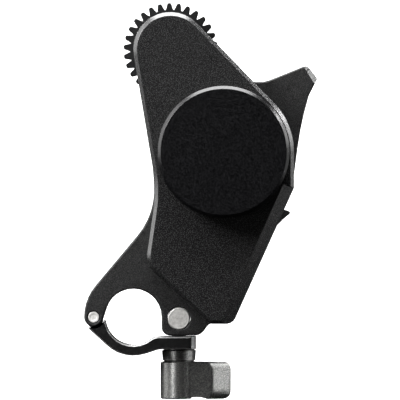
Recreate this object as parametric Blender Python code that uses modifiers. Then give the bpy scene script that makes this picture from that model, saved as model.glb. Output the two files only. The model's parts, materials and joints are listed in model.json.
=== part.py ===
"""Rod-mounted lens focus motor: a geared drive unit on a hinged clamp for a 15 mm rod.

X runs to the right, Z up and -Y towards the viewer. The origin is on the rod's axis, in the
middle of the clamp's depth.
"""
import math

import bmesh
import bpy
from mathutils import Matrix, Vector

MM = 0.001

# Fits and clearances
SEAT_GAP = 0.3 * MM          # between pieces that rest on each other
PRESS_GAP = 0.08 * MM        # round pins, bearings and shafts that are fixed in their holes
RUNNING_GAP = 0.08 * MM      # round shafts that turn in their holes
MOVING_GAP = 0.4 * MM        # between pieces that pass each other
OVERRUN = 2.0 * MM           # how far a cutter runs past what it cuts

# Rod clamp
ROD_DIAMETER = 15.0 * MM
ROD_CLEARANCE = 0.15 * MM
CLAMP_DEPTH = 16.0 * MM
ARM_WALL = 5.7 * MM          # main body round the rod, on the hinge side
JAW_WALL = 2.8 * MM          # jaw round the rod
JAW_BAR_HEIGHT = 3.4 * MM    # jaw's straight bar under the nut
HINGE_LOBE_RADIUS = 2.6 * MM
JAW_PIN_RADIUS = 1.45 * MM
PIN_RECESS_RADIUS = 1.85 * MM
PIN_RECESS_DEPTH = 0.35 * MM
TONGUE_WIDTH = 5.4 * MM      # the jaw's middle knuckle, between the body's two ears
HINGE_GAP = 0.2 * MM         # between the body's round lobe and the jaw's hollow
JAW_END_CORNER = 2.2 * MM    # in plan
NUT_RADIUS = 3.05 * MM
NUT_WALL = 1.65 * MM         # between the rod bore and the nut
NUT_FLOOR = 1.55 * MM        # under the nut
NUT_DROP = 0.4 * MM          # nut axis below the rod axis
NUT_LOBE_CORNER = 2.2 * MM
SCREW_RADIUS = 2.0 * MM
SCREW_PITCH = 0.7 * MM
SCREW_REACH = 3.4 * MM       # screw tip above the nut's axis
SCREW_HEAD_RADIUS = 3.4 * MM
SCREW_HEAD_HEIGHT = 2.4 * MM
SCREW_SOCKET_RADIUS = 1.7 * MM
LEVER_TURNS = 3
COLLAR_RADIUS = 4.65 * MM
COLLAR_WAIST = 0.2 * MM
COLLAR_HEIGHT = 2.8 * MM
RIM_CHAMFER = 0.35 * MM
EDGE_CHAMFER = 0.35 * MM
LIP_SHARE = 0.125            # rounded lips beside the jaw's knuckle, of the lobe's radius
OUTER_LIP_LEAN = math.radians(-111.2)
TONGUE_ROOT_SHARES = (0.5, -1.6, 0.33)       # of the lobe's radius: place and radius

# Lever
LEVER_HUB_RADIUS = 5.1 * MM
LEVER_HEIGHT = 10.2 * MM
LEVER_REACH = 14.1 * MM      # screw axis to the tip
LEVER_FACE_SETBACK = 1.05 * MM
LEVER_ARM_THICKNESS = 3.9 * MM
LEVER_TIP_SWEEP = 3.8 * MM
LEVER_CORNER = 1.6 * MM
LEVER_END_CORNER = 2.1 * MM  # seen from the front
LEVER_ARCH_RISE = 0.55 * MM  # hollow under the arm
LEVER_ARCH_SHARES = (0.34, 0.20)     # of the reach: the arch's middle and half its width
LEVER_TIP_SHARE = 0.9        # of the corner: the tip's radius in plan
LEVER_HEEL_SHARE = 2.1       # of the corner: where the front fillet's centre lies
LEVER_HOLLOW_SHARE = 2.5     # of the corner: the hollow behind the arm

# Places of the motor and the output gear
MOTOR_RIGHT = 24.4 * MM
MOTOR_RISE = 44.6 * MM
OUTPUT_REACH = 31.1 * MM     # motor axis to the output gear's axis
OUTPUT_LEAN = math.radians(117.3)

# Drive gear
DRIVE_TEETH = 30
DRIVE_MODULE = 0.8 * MM
DRIVE_GEAR_WIDTH = 9.0 * MM
DRIVE_TURN = math.radians(91.8)      # of one tooth's middle, as the photo shows it
DRIVE_RIM = 2.2 * MM
DRIVE_ROOT_SHARE = 1.25      # of the module: the roots' depth below the pitch circle
DRIVE_TIP_ROUND_SHARE = 0.22
DRIVE_WEB = 3.0 * MM
DRIVE_HUB_RADIUS = 5.0 * MM
WEB_HOLES = 6
LOBE_SETBACK = 0.95 * MM     # housing lobe inside the drive gear's root circle

# Front housing and cap
HOUSING_DEPTH = 10.0 * MM
HOUSING_WALL = 1.4 * MM
HOUSING_CHAMFER = 0.95 * MM
BAND_WIDTH = 3.1 * MM        # wide bevel down the lower right side
BAND_WALL = 1.0 * MM         # more wall behind the bevel, at the foot
CAP_RADIUS = 17.7 * MM
CAP_HEIGHT = 8.0 * MM
CAP_WALL = 1.4 * MM
CAP_CHAMFER = 0.8 * MM
CAP_MARGIN = 1.3 * MM        # housing round the cap
BODY_INSET = 0.35 * MM       # main body inside the housing's outline at the right side

# Main body
BODY_WALL = 2.0 * MM
BODY_FLOOR = 3.0 * MM        # front wall, between the gear train and the electronics
GEAR_CLEARANCE = 0.9 * MM    # body round the drive gear's teeth
COVER_THICKNESS = 1.3 * MM
COVER_LEDGE = 0.8 * MM
BODY_CHAMFER = 0.35 * MM
HORN_CHAMFER = 1.2 * MM      # at the horn's end

# Motor
ROTOR_SHARE = 12.5 / 17.7    # of the cap's radius
ROTOR_WALL = 0.8 * MM
MAGNET_THICKNESS = 1.0 * MM
AIR_GAP = 0.3 * MM
STATOR_TEETH = 12
STATOR_THICKNESS = 3.8 * MM
MOUNT_THICKNESS = 1.2 * MM
MOUNT_RIM = 2.4 * MM         # flange beyond the hole in the housing
TUBE_WALL_SHARE = 0.08       # of the rotor's radius, as are the next two
MOTOR_SHAFT_SHARE = 0.12
MOTOR_BEARING_SHARE = 0.24
MOUNT_SCREW_LEANS = (-80, 25, 180)   # degrees round the motor
MOTOR_BEARING_WIDTH = 2.2 * MM
BACK_IRON_SHARE = 1.4        # of the tube's wall: the core round the tube
NECK_SHARE = 0.17            # of the tooth pitch: half a core tooth at its root
NECK_TAPER_SHARE = 0.6       # of the neck: the same at the shoe
SHOE_SHARE = 0.42            # of the tooth pitch: half a shoe
COIL_WALL_SHARE = 1.6        # of the air gap
COIL_LENGTH_SHARE = 0.8      # of the room between the back iron and the shoes

# Gear train between the motor and the output shaft
TRAIN_MODULE = 0.5 * MM
PINION_TEETH = 14
IDLER_A_TEETH = 32
IDLER_A_PINION_TEETH = 16
IDLER_B_TEETH = 30
OUTPUT_TEETH = 30
TRAIN_BEND_SHARE = 0.225     # of the train's slack: how far the first idler lies off the line
TRAIN_FACE = 1.8 * MM
TRAIN_BACKLASH = 0.08 * MM
STUB_SHARE = 0.8             # stub teeth, so that the 14-tooth pinion isn't undercut
STUB_ROOT_SHARE = 1.0
ROOT_SPREAD_SHARE = 1.15     # half a tooth at its root, of the same at the flank's start
ROOT_LIMIT_SHARE = 0.8       # and at most this share of half the tooth pitch
PRESSURE_ANGLE = math.radians(20)
IDLER_PIN_RADIUS = 1.0 * MM
PLATE_THICKNESS = 1.8 * MM
OUTPUT_SHAFT_RADIUS = 2.5 * MM
OUTPUT_BEARING_RADIUS = 4.0 * MM
OUTPUT_BEARING_WIDTH = 2.0 * MM
BEARING_BOSS_WALL = 1.4 * MM

# Small screws, board and port
SMALL_SCREW_RADIUS = 0.9 * MM
SMALL_HEAD_RADIUS = 1.7 * MM
SMALL_HEAD_HEIGHT = 1.1 * MM
MOUNT_SCREW_SHARE = 0.7      # motor mount's screws against the other small ones
SCREW_BOSS_RADIUS = 1.9 * MM
HOUSING_SCREW_LENGTH = 9.0 * MM
COVER_SCREW_LENGTH = 5.0 * MM
BOARD_THICKNESS = 1.6 * MM
PORT_LENGTH = 11.0 * MM
PORT_WIDTH = 6.4 * MM
PORT_THICKNESS = 1.0 * MM
PORT_LIP = 2.3 * MM
SOCKET_WIDTH = 9.0 * MM
SOCKET_HEIGHT = 3.3 * MM
SOCKET_LENGTH = 7.3 * MM
SOCKET_SHELL = 0.35 * MM
LIP_OUTLINE_SHARES = (
    (-0.1, 0), (0.08, 0.15), (0.17, 0.62), (0.14, 0.88), (0.04, 1), (-0.12, 0.98),
    (-0.85, 0.62), (-2.1, 0.14), (-2.8, 0),
)

# Smoothness
ARC_SAG = 0.05 * MM          # how far a facet's middle may lie inside its arc
ROUND_STEPS = 24
SMALL_STEPS = 12
TINY_STEPS = 8
MERGE = 0.001 * MM
SHORTEST_EDGE = 0.05 * MM    # between neighbouring points of an outline

FACING_FRONT = Matrix.Rotation(math.pi / 2, 4, "X")

# Materials: colour, roughness, metallic
BLACK_ANODISED = ("black_anodised", (0.028, 0.028, 0.030), 0.48, 0.6)
CAP_BLACK = ("cap_black", (0.014, 0.014, 0.016), 0.42, 0.5)
GEAR_POLYMER = ("gear_polymer", (0.018, 0.018, 0.019), 0.5, 0.0)
BRIGHT_STEEL = ("bright_steel", (0.62, 0.61, 0.60), 0.28, 1.0)
LEVER_SATIN = ("lever_satin", (0.075, 0.075, 0.078), 0.36, 0.85)
DARK_STEEL = ("dark_steel", (0.10, 0.10, 0.105), 0.35, 1.0)
RUBBER_GREY = ("rubber_grey", (0.10, 0.10, 0.10), 0.75, 0.0)
GEAR_BRASS = ("gear_brass", (0.62, 0.45, 0.18), 0.35, 1.0)
WINDING_COPPER = ("winding_copper", (0.60, 0.26, 0.12), 0.38, 1.0)
CORE_STEEL = ("core_steel", (0.30, 0.31, 0.33), 0.45, 1.0)
MAGNET_NICKEL = ("magnet_nickel", (0.50, 0.50, 0.48), 0.3, 1.0)
MILLED_ALLOY = ("milled_alloy", (0.55, 0.56, 0.58), 0.4, 1.0)
BOARD_GREEN = ("board_green", (0.02, 0.14, 0.05), 0.5, 0.0)


# Derived places, in the X-Z plane
bore_radius = ROD_DIAMETER / 2 + ROD_CLEARANCE
body_front = -CLAMP_DEPTH / 2
body_back = CLAMP_DEPTH / 2
hinge = Vector((-(bore_radius + ARM_WALL - HINGE_LOBE_RADIUS), 0))
nut = Vector((bore_radius + NUT_WALL + NUT_RADIUS, -NUT_DROP))
nut_lobe_floor = nut.y - NUT_RADIUS - NUT_FLOOR
jaw_bar_top = nut_lobe_floor - SEAT_GAP
jaw_bar_floor = jaw_bar_top - JAW_BAR_HEIGHT
collar_top = jaw_bar_floor - SEAT_GAP
collar_floor = collar_top - COLLAR_HEIGHT
lever_top = collar_floor - SEAT_GAP
lever_floor = lever_top - LEVER_HEIGHT
motor = Vector((MOTOR_RIGHT, MOTOR_RISE))
output = motor + OUTPUT_REACH * Vector((math.cos(OUTPUT_LEAN), math.sin(OUTPUT_LEAN)))
drive_pitch_radius = DRIVE_TEETH * DRIVE_MODULE / 2
drive_tip_radius = drive_pitch_radius + DRIVE_MODULE
drive_root_radius = drive_pitch_radius - DRIVE_ROOT_SHARE * DRIVE_MODULE
lobe_radius = drive_root_radius - LOBE_SETBACK

# Derived levels, from the back (high Y) to the front (low Y)
housing_back = body_front - SEAT_GAP
housing_front = housing_back - HOUSING_DEPTH
housing_inside = housing_front + HOUSING_WALL
cap_back = housing_front - SEAT_GAP
cap_front = cap_back - CAP_HEIGHT
rotor_radius = ROTOR_SHARE * CAP_RADIUS
tube_wall = TUBE_WALL_SHARE * rotor_radius
motor_shaft_radius = MOTOR_SHAFT_SHARE * rotor_radius
motor_bearing_radius = MOTOR_BEARING_SHARE * rotor_radius
pocket_floor = body_front + BODY_FLOOR
plate_back = housing_back
plate_front = plate_back - PLATE_THICKNESS
mount_front = housing_inside + SEAT_GAP
mount_back = mount_front + MOUNT_THICKNESS
train_front = mount_back + SEAT_GAP
train_middle = train_front + TRAIN_FACE
train_back = plate_front - MOVING_GAP
drive_front = housing_back + 2 * MOVING_GAP
drive_back = drive_front + DRIVE_GEAR_WIDTH
board_front = SOCKET_HEIGHT / 2 + SEAT_GAP
board_back = board_front + BOARD_THICKNESS
lever_travel = LEVER_TURNS * SCREW_PITCH

# The housing's outline runs round these circles: shares of the motor's right and rise for the
# centre, and of the rise for the radius. A negative radius curves inwards.
FOOT_LEFT_SHARES = (0.872, -0.0089, 0.0290)
FOOT_RIGHT_SHARES = (1.037, 0.0179, 0.0561)
SIDE_CORNER_SHARES = (1.779, 0.783, 0.0)
WAIST_SHARES = (-1.318, 0.762, -0.852)
ELBOW_SHARES = (0.406, 0.372, 0.137)

# The main body's own circles
HORN_SWEEP_SHARES = (5.480, 0.762, -2.018)
HORN_HEEL_SHARES = (2.000, 1.444, 0.0213)
HORN_TIP_SHARES = (1.905, 1.487, 0.0359)
ARM_ROOT_SHARES = (-0.561, 0.774, -0.433)
NUT_LOBE_SIDE_SHARES = (0.684, -0.045, 0.067)
NUT_LOBE_STEP_SHARES = (0.881, -0.0785, -0.0404)

# Saddle and shoulders beside the drive gear: degrees round its axis, then shares of its room's
# radius for the distance and for the rounding
SADDLE_SHARES = (-3.45, 1.7675, -0.5176)
SHOULDER_RIGHT_SHARES = (-30.0, 1.4623, 0.1466)
SHOULDER_LEFT_SHARES = (-106.1, 1.1949, 0.1107)

# Screw and standoff places
HOUSING_SCREW_SHARES = ((0.88, 0.146), (0.52, 0.36), (0.47, 0.64))
COVER_SCREW_SHARES = ((0.99, 0.078), (0.36, 0.36))
STANDOFF_SHARES = ((0.92, 0.30),)
SIDE_SCREW_SHARE = 0.53              # from the foot to the motor, beside the pocket's wall
COVER_SCREW_LEANS = (136, 10)        # degrees round the motor, as are the next
STANDOFF_LEANS = (90, 206)
STANDOFF_RING_SHARE = 0.8            # of the ring of the cover's screws
PORT_PLACE_SHARE = 0.69

# The board's own circles, and its chips: rise share and half a side as a share of the ring
BOARD_FOOT_SHARES = (1.04, 0.19, 0.02)
BOARD_ELBOW_SHARES = (0.60, 0.42, 0.07)
CHIP_SHARES = ((0.62, 0.305), (0.95, 0.42))


def rim(shares):
    """A circle of an outline, from its shares of the motor's place."""
    right_share, rise_share, radius_share = shares
    return right_share * MOTOR_RIGHT, rise_share * MOTOR_RISE, radius_share * MOTOR_RISE


def place(shares):
    """A point in the X-Z plane, from its shares of the motor's place."""
    right_share, rise_share = shares
    return Vector((right_share * MOTOR_RIGHT, rise_share * MOTOR_RISE))


def places(table):
    """The points of a table of shares."""
    return [place(shares) for shares in table]


def on_ring(radius, leans):
    """Points on a circle round the motor's axis."""
    turns = [math.radians(lean) for lean in leans]
    return [motor + radius * Vector((math.cos(turn), math.sin(turn))) for turn in turns]


def inset(rims, wall):
    """The same circles with the outline moved inwards by a wall."""
    return [(x, z, radius - wall) for x, z, radius in rims]


def arc_steps(radius, turn):
    """Facets that keep an arc within ARC_SAG of its circle."""
    facet = 2 * math.acos(max(1 - ARC_SAG / abs(radius), math.cos(math.pi / 8)))
    return max(1, math.ceil(abs(turn) / facet - 1e-6))


def line_normal(first, second):
    """Inward normal of the line that touches two circles of an outline."""
    across = Vector(second[:2]) - Vector(first[:2])
    along = across.normalized()
    lean = max(-1, min(1, (second[2] - first[2]) / across.length))
    return along * lean + Vector((-along.y, along.x)) * math.sqrt(1 - lean * lean)


def belt(rims):
    """Outline that runs counterclockwise round circles (x, z, radius), in lines and arcs."""
    following = rims[1:] + rims[:1]
    leaving = [line_normal(first, second) for first, second in zip(rims, following)]
    arriving = leaving[-1:] + leaving[:-1]
    points = []
    for (x, z, radius), start, end in zip(rims, arriving, leaving):
        turn = math.atan2(start.x * end.y - start.y * end.x, start.dot(end))
        if radius > 0 and turn < -0.01:
            turn += 2 * math.pi
        if radius < 0 and turn > 0.01:
            turn -= 2 * math.pi
        steps = arc_steps(radius, turn) if radius else 0
        for step in range(steps + 1):
            spoke = Matrix.Rotation(turn * step / max(steps, 1), 2) @ start
            point = Vector((x, z)) - radius * spoke
            if not points or (point - points[-1]).length > SHORTEST_EDGE:
                points.append(point)
    return points


def circle(radius, steps=SMALL_STEPS):
    """Points of a circle round the origin."""
    turns = [2 * math.pi * step / steps for step in range(steps)]
    return [Vector((radius * math.cos(turn), radius * math.sin(turn))) for turn in turns]


def rectangle(half_width, half_height):
    """Corners of a rectangle round the origin."""
    return [Vector((-half_width, -half_height)), Vector((half_width, -half_height)),
            Vector((half_width, half_height)), Vector((-half_width, half_height))]


def moved(points, offset):
    """Points shifted by an offset."""
    return [point + offset for point in points]


def collections():
    """The collection of the parts and the one of the cutters."""
    made = []
    for name in ("lens_focus_motor", "cutters"):
        collection = bpy.data.collections.new(name)
        bpy.context.scene.collection.children.link(collection)
        made.append(collection)
    return made


def material(finish):
    """The Principled material of a finish."""
    name, colour, roughness, metallic = finish
    if name in bpy.data.materials:
        return bpy.data.materials[name]
    made = bpy.data.materials.new(name)
    made.use_nodes = True
    shader = made.node_tree.nodes["Principled BSDF"]
    shader.inputs["Base Color"].default_value = (*colour, 1)
    shader.inputs["Roughness"].default_value = roughness
    shader.inputs["Metallic"].default_value = metallic
    made.diffuse_color = (*colour, 1)
    return made


def part(obj, finish):
    """Files an object as a part, with its material."""
    PARTS.objects.link(obj)
    obj.data.materials.append(material(finish))
    return obj


def cutter(obj):
    """Files an object as a cutter, which the finished model leaves out."""
    CUTTERS.objects.link(obj)
    obj.hide_render = True
    obj.display_type = "WIRE"
    return obj


def slab(name, outlines, thickness, frame):
    """Flat outlines, the first one outside and the others holes, given a thickness along the
    frame's own Z axis. The thickness is centred on the frame's origin."""
    curve = bpy.data.curves.new(name, "CURVE")
    curve.dimensions = "2D"
    curve.fill_mode = "BOTH"
    curve.extrude = thickness / 2
    for outline in outlines:
        spline = curve.splines.new("POLY")
        spline.points.add(len(outline) - 1)
        for spot, point in zip(spline.points, outline):
            spot.co = (point[0], point[1], 0, 1)
        spline.use_cyclic_u = True
    guide = bpy.data.objects.new(name + "_outline", curve)
    bpy.context.scene.collection.objects.link(guide)
    graph = bpy.context.evaluated_depsgraph_get()
    mesh = bpy.data.meshes.new_from_object(guide.evaluated_get(graph))
    mesh.name = name
    bpy.data.objects.remove(guide)
    bpy.data.curves.remove(curve)
    shape = bmesh.new()
    shape.from_mesh(mesh)
    bmesh.ops.remove_doubles(shape, verts=shape.verts, dist=MERGE)
    bmesh.ops.dissolve_limit(shape, angle_limit=math.radians(0.1), verts=[], edges=shape.edges)
    bmesh.ops.recalc_face_normals(shape, faces=shape.faces)
    shape.to_mesh(mesh)
    shape.free()
    made = bpy.data.objects.new(name, mesh)
    made.matrix_world = frame
    return made


def plate(name, outlines, front, back, centre=(0, 0)):
    """Outlines in the X-Z plane, solid between two depths."""
    middle = Matrix.Translation((centre[0], (front + back) / 2, centre[1]))
    return slab(name, outlines, back - front, middle @ FACING_FRONT)


def chamfer_ends(obj, width, ends=("front", "back")):
    """Chamfers a slab's outline at its front (local +Z) and back ends."""
    signs = [1 if end == "front" else -1 for end in ends]
    shape = bmesh.new()
    shape.from_mesh(obj.data)
    weights = shape.edges.layers.float.new("bevel_weight_edge")
    for edge in shape.edges:
        caps = [face.normal.z for face in edge.link_faces if abs(face.normal.z) > 0.9]
        if len(caps) == 1 and round(caps[0]) in signs:
            edge[weights] = 1
    shape.to_mesh(obj.data)
    shape.free()
    bevel = obj.modifiers.new("chamfer", "BEVEL")
    bevel.limit_method = "WEIGHT"
    bevel.width = width
    bevel.segments = 1
    bevel.use_clamp_overlap = False
    return obj


def turned(name, profile, centre, steps=ROUND_STEPS, along="y", hollow=False):
    """A profile of (radius, height) points turned round an axis. The heights run along Y for a
    piece that lies front to back, and along Z for an upright one. The profile runs down the
    outer side, from the front or the top; a hollow one goes on up the inner side and closes."""
    sign = -1 if along == "y" else 1
    mesh = bpy.data.meshes.new(name)
    points = [(radius, 0, sign * height) for radius, height in profile]
    edges = [(index, index + 1) for index in range(len(points) - 1)]
    if hollow:
        edges.append((len(points) - 1, 0))
    mesh.from_pydata(points, edges, [])
    made = bpy.data.objects.new(name, mesh)
    if along == "y":
        made.matrix_world = Matrix.Translation((centre[0], 0, centre[1])) @ FACING_FRONT
    else:
        made.location = (centre[0], centre[1], 0)
    screw = made.modifiers.new("turn", "SCREW")
    screw.axis = "Z"
    screw.steps = steps
    screw.render_steps = steps
    screw.use_merge_vertices = True
    screw.merge_threshold = MERGE
    return made


def pin_profile(radius, front, back, chamfer):
    """Profile of a solid pin with chamfered ends, from the front or top to the back or bottom."""
    step = chamfer if back > front else -chamfer
    return [
        (0, front),
        (radius - chamfer, front),
        (radius, front + step),
        (radius, back - step),
        (radius - chamfer, back),
        (0, back),
    ]


def ring_profile(outer, inner, front, back):
    """Profile of a plain ring."""
    return [(outer, front), (outer, back), (inner, back), (inner, front)]


def hole(name, centre, radius, front, back, steps=SMALL_STEPS):
    """A round cutter along Y."""
    return cutter(turned(name, pin_profile(radius, front, back, 0), centre, steps))


def hole_set(name, spots, radius, front, back, steps=SMALL_STEPS):
    """Several round cutters along Y as one object, which can also be joined as posts."""
    profile = pin_profile(radius, front, back, 0)
    return cutter(gather(name, [turned(name, profile, spot, steps) for spot in spots]))


def post_set(name, spots, front, back):
    """Hollow screw posts along Y as one object, to be joined to the wall they stand on."""
    profile = ring_profile(SCREW_BOSS_RADIUS, SMALL_SCREW_RADIUS + PRESS_GAP, front, back)
    posts = [turned(name, profile, spot, SMALL_STEPS, hollow=True) for spot in spots]
    return cutter(gather(name, posts))


def bore_cutter(name, centre, radius, front, back, flare, steps=ROUND_STEPS):
    """A round cutter along Y whose ends flare into chamfers at two faces."""
    profile = [
        (0, front - flare),
        (radius + 2 * flare, front - flare),
        (radius, front + flare),
        (radius, back - flare),
        (radius + 2 * flare, back + flare),
        (0, back + flare),
    ]
    return cutter(turned(name, profile, centre, steps))


def combine(target, tool, operation):
    """Adds a Boolean to a piece."""
    step = target.modifiers.new(tool.name, "BOOLEAN")
    step.operation = operation
    step.object = tool
    step.solver = "EXACT"


def cut(target, *tools):
    """Takes cutters out of a piece."""
    for tool in tools:
        combine(target, tool, "DIFFERENCE")


def fuse(target, *tools):
    """Joins shapes to a piece as one body."""
    for tool in tools:
        combine(target, tool, "UNION")


def gather(name, shapes):
    """Separate solids joined as one object, each left a closed body of its own."""
    graph = bpy.context.evaluated_depsgraph_get()
    shape = bmesh.new()
    for item in shapes:
        bpy.context.scene.collection.objects.link(item)
        bpy.context.view_layer.update()
        mesh = bpy.data.meshes.new_from_object(item.evaluated_get(graph))
        mesh.transform(item.matrix_world)
        shape.from_mesh(mesh)
        bpy.data.meshes.remove(mesh)
        bpy.data.objects.remove(item)
    mesh = bpy.data.meshes.new(name)
    shape.to_mesh(mesh)
    shape.free()
    return bpy.data.objects.new(name, mesh)


# Toothed gears

def gear_outline(teeth, module, tip_share, root_share, backlash, phase, tip_round=0):
    """Involute gear outline. The tip and root shares are of the module, and the phase is the
    angle of a tooth's middle. A rounded tip gets one more point."""
    pitch = teeth * module / 2
    base = pitch * math.cos(PRESSURE_ANGLE)
    tip = pitch + tip_share * module
    root = pitch - root_share * module

    def half_angle(radius):
        slope = math.acos(min(1, base / max(radius, base)))
        unroll = math.tan(PRESSURE_ANGLE) - PRESSURE_ANGLE - math.tan(slope) + slope
        return math.pi / (2 * teeth) - backlash / (4 * pitch) + unroll

    flank_start = max(base, root + root_share * module / 4)
    radii = [root, pitch, tip - tip_round]
    spread = [half_angle(radius) for radius in radii]
    spread[0] = min(half_angle(flank_start) * ROOT_SPREAD_SHARE,
                    math.pi / teeth * ROOT_LIMIT_SHARE)
    side = list(zip(radii, spread))
    crown = [(tip, spread[-1] / 2)] if tip_round else []
    one_side = side + crown
    outline = []
    for tooth in range(teeth):
        middle = phase + 2 * math.pi * tooth / teeth
        tooth_points = [(radius, middle - half) for radius, half in one_side]
        tooth_points += [(radius, middle + half) for radius, half in reversed(one_side)]
        outline += [Vector((r * math.cos(a), r * math.sin(a))) for r, a in tooth_points]
    return outline


def mesh_phase(first, first_teeth, first_phase, second, second_teeth):
    """Phase that puts a second gear's teeth in mesh with a first one's."""
    towards = second - first
    direction = math.atan2(towards.y, towards.x)
    passed = (direction - first_phase) * first_teeth / (2 * math.pi)
    return direction + math.pi + (passed - 0.5) * 2 * math.pi / second_teeth


def centre_distance(first_teeth, second_teeth):
    """Distance between the axes of two gears of the train."""
    return TRAIN_MODULE * (first_teeth + second_teeth) / 2


def two_link_joint(start, start_reach, end, end_reach):
    """The point at given distances from two points, on the left of the way between them."""
    across = end - start
    along = (start_reach ** 2 - end_reach ** 2 + across.length_squared) / (2 * across.length)
    rise = math.sqrt(start_reach ** 2 - along ** 2)
    forward = across.normalized()
    return start + forward * along + Vector((-forward.y, forward.x)) * rise


first_link = centre_distance(PINION_TEETH, IDLER_A_TEETH)
middle_link = centre_distance(IDLER_A_PINION_TEETH, IDLER_B_TEETH)
last_link = centre_distance(IDLER_B_TEETH, OUTPUT_TEETH)
train_slack = first_link + middle_link + last_link - OUTPUT_REACH
idler_a = two_link_joint(
    output, OUTPUT_REACH - first_link + TRAIN_BEND_SHARE * train_slack, motor, first_link)
idler_b = two_link_joint(idler_a, middle_link, output, last_link)

# Outlines of the two housings

housing_foot_right = rim(FOOT_RIGHT_SHARES)
housing_rims = [
    rim(FOOT_LEFT_SHARES),
    housing_foot_right,
    rim(SIDE_CORNER_SHARES),
    (motor.x, motor.y, CAP_RADIUS + CAP_MARGIN),
    (output.x, output.y, lobe_radius),
    rim(WAIST_SHARES),
    rim(ELBOW_SHARES),
]
housing_pocket_rims = (inset([housing_foot_right], HOUSING_WALL + BAND_WALL)
                       + inset(housing_rims[3:], HOUSING_WALL))

body_foot_right = inset([housing_foot_right], BODY_INSET)[0]
body_side_corner = (housing_rims[2][0] - BODY_INSET, housing_rims[2][1], 0)
gear_room = drive_tip_radius + GEAR_CLEARANCE


def shoulder(shares):
    """A circle of the outline beside the drive gear's room."""
    lean, reach_share, radius_share = shares
    turn = math.radians(lean)
    reach = reach_share * gear_room
    return (output.x + reach * math.cos(turn), output.y + reach * math.sin(turn),
            radius_share * gear_room)


body_rims = [
    (bore_radius + NUT_LOBE_CORNER, nut_lobe_floor + NUT_LOBE_CORNER, NUT_LOBE_CORNER),
    rim(NUT_LOBE_SIDE_SHARES),
    rim(NUT_LOBE_STEP_SHARES),
    body_foot_right,
    body_side_corner,
    rim(HORN_SWEEP_SHARES),
    rim(HORN_HEEL_SHARES),
    rim(HORN_TIP_SHARES),
    shoulder(SADDLE_SHARES),
    shoulder(SHOULDER_RIGHT_SHARES),
    (output.x, output.y, -gear_room),
    shoulder(SHOULDER_LEFT_SHARES),
    rim(ARM_ROOT_SHARES),
    (0, 0, bore_radius + ARM_WALL),
    (hinge.x, hinge.y, HINGE_LOBE_RADIUS),
    (0, 0, -bore_radius),
]
pocket_round = min(CAP_RADIUS - BODY_WALL / 2, OUTPUT_REACH - gear_room - BODY_WALL / 3)
body_pocket_rims = inset(
    [housing_foot_right, (motor.x, motor.y, pocket_round), rim(ELBOW_SHARES)], BODY_WALL)
cover_rims = inset(body_pocket_rims, -COVER_LEDGE)
board_rims = [rim(BOARD_FOOT_SHARES), inset(body_pocket_rims, MOVING_GAP)[1],
              rim(BOARD_ELBOW_SHARES)]

foot = Vector(body_pocket_rims[0][:2])
side_width = (body_pocket_rims[0][2] * (1 - SIDE_SCREW_SHARE)
              + body_pocket_rims[1][2] * SIDE_SCREW_SHARE)
side_screw = foot.lerp(motor, SIDE_SCREW_SHARE) + Vector((side_width - SCREW_BOSS_RADIUS, 0))
housing_screw_spots = places(HOUSING_SCREW_SHARES) + [side_screw]
cover_ring = pocket_round - BODY_WALL - SCREW_BOSS_RADIUS
cover_screw_spots = places(COVER_SCREW_SHARES) + on_ring(cover_ring, COVER_SCREW_LEANS)
standoff_spots = places(STANDOFF_SHARES) + on_ring(
    cover_ring * STANDOFF_RING_SHARE, STANDOFF_LEANS)
mount_screw_spots = on_ring(rotor_radius + MOVING_GAP + MOUNT_RIM / 2, MOUNT_SCREW_LEANS)


def side_frame():
    """The lower right side's port: its centre, the way up the side and the way out of it."""
    inward = line_normal(body_foot_right, body_side_corner)
    low = Vector(body_foot_right[:2]) - body_foot_right[2] * inward
    high = Vector(body_side_corner[:2])
    return low.lerp(high, PORT_PLACE_SHARE), (high - low).normalized(), -inward


port_centre, port_up, port_out = side_frame()
port_matrix = Matrix((
    (port_up.x, 0, port_out.x, port_centre.x),
    (0, 1, 0, 0),
    (port_up.y, 0, port_out.y, port_centre.y),
    (0, 0, 0, 1),
))
port_hinge = port_centre - port_up * PORT_LENGTH / 2


def box(name, size, middle, frame):
    """A box cutter with its middle given in a frame."""
    mesh = bpy.data.meshes.new(name)
    shape = bmesh.new()
    bmesh.ops.create_cube(shape, size=1, matrix=Matrix.Diagonal((*size, 1)))
    shape.to_mesh(mesh)
    shape.free()
    made = bpy.data.objects.new(name, mesh)
    made.matrix_world = frame @ Matrix.Translation(middle)
    return cutter(made)


def edge_wedge(name, first_rim, second_rim, width, front):
    """A cutter that bevels the front edge along the line between two circles of an outline."""
    inward = line_normal(first_rim, second_rim)
    low = Vector(first_rim[:2]) - first_rim[2] * inward
    high = Vector(second_rim[:2]) - second_rim[2] * inward
    run = high - low
    size = width * math.sqrt(2)
    past = first_rim[2] + OVERRUN
    middle = low.lerp(high, 0.5) - run.normalized() * past / 2
    frame = (Matrix.Translation((middle.x, front, middle.y))
             @ Matrix.Rotation(-math.atan2(run.y, run.x), 4, "Y")
             @ Matrix.Rotation(math.pi / 4, 4, "X"))
    return box(name, (run.length + past, size, size), (0, 0, 0), frame)


# Housings

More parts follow.
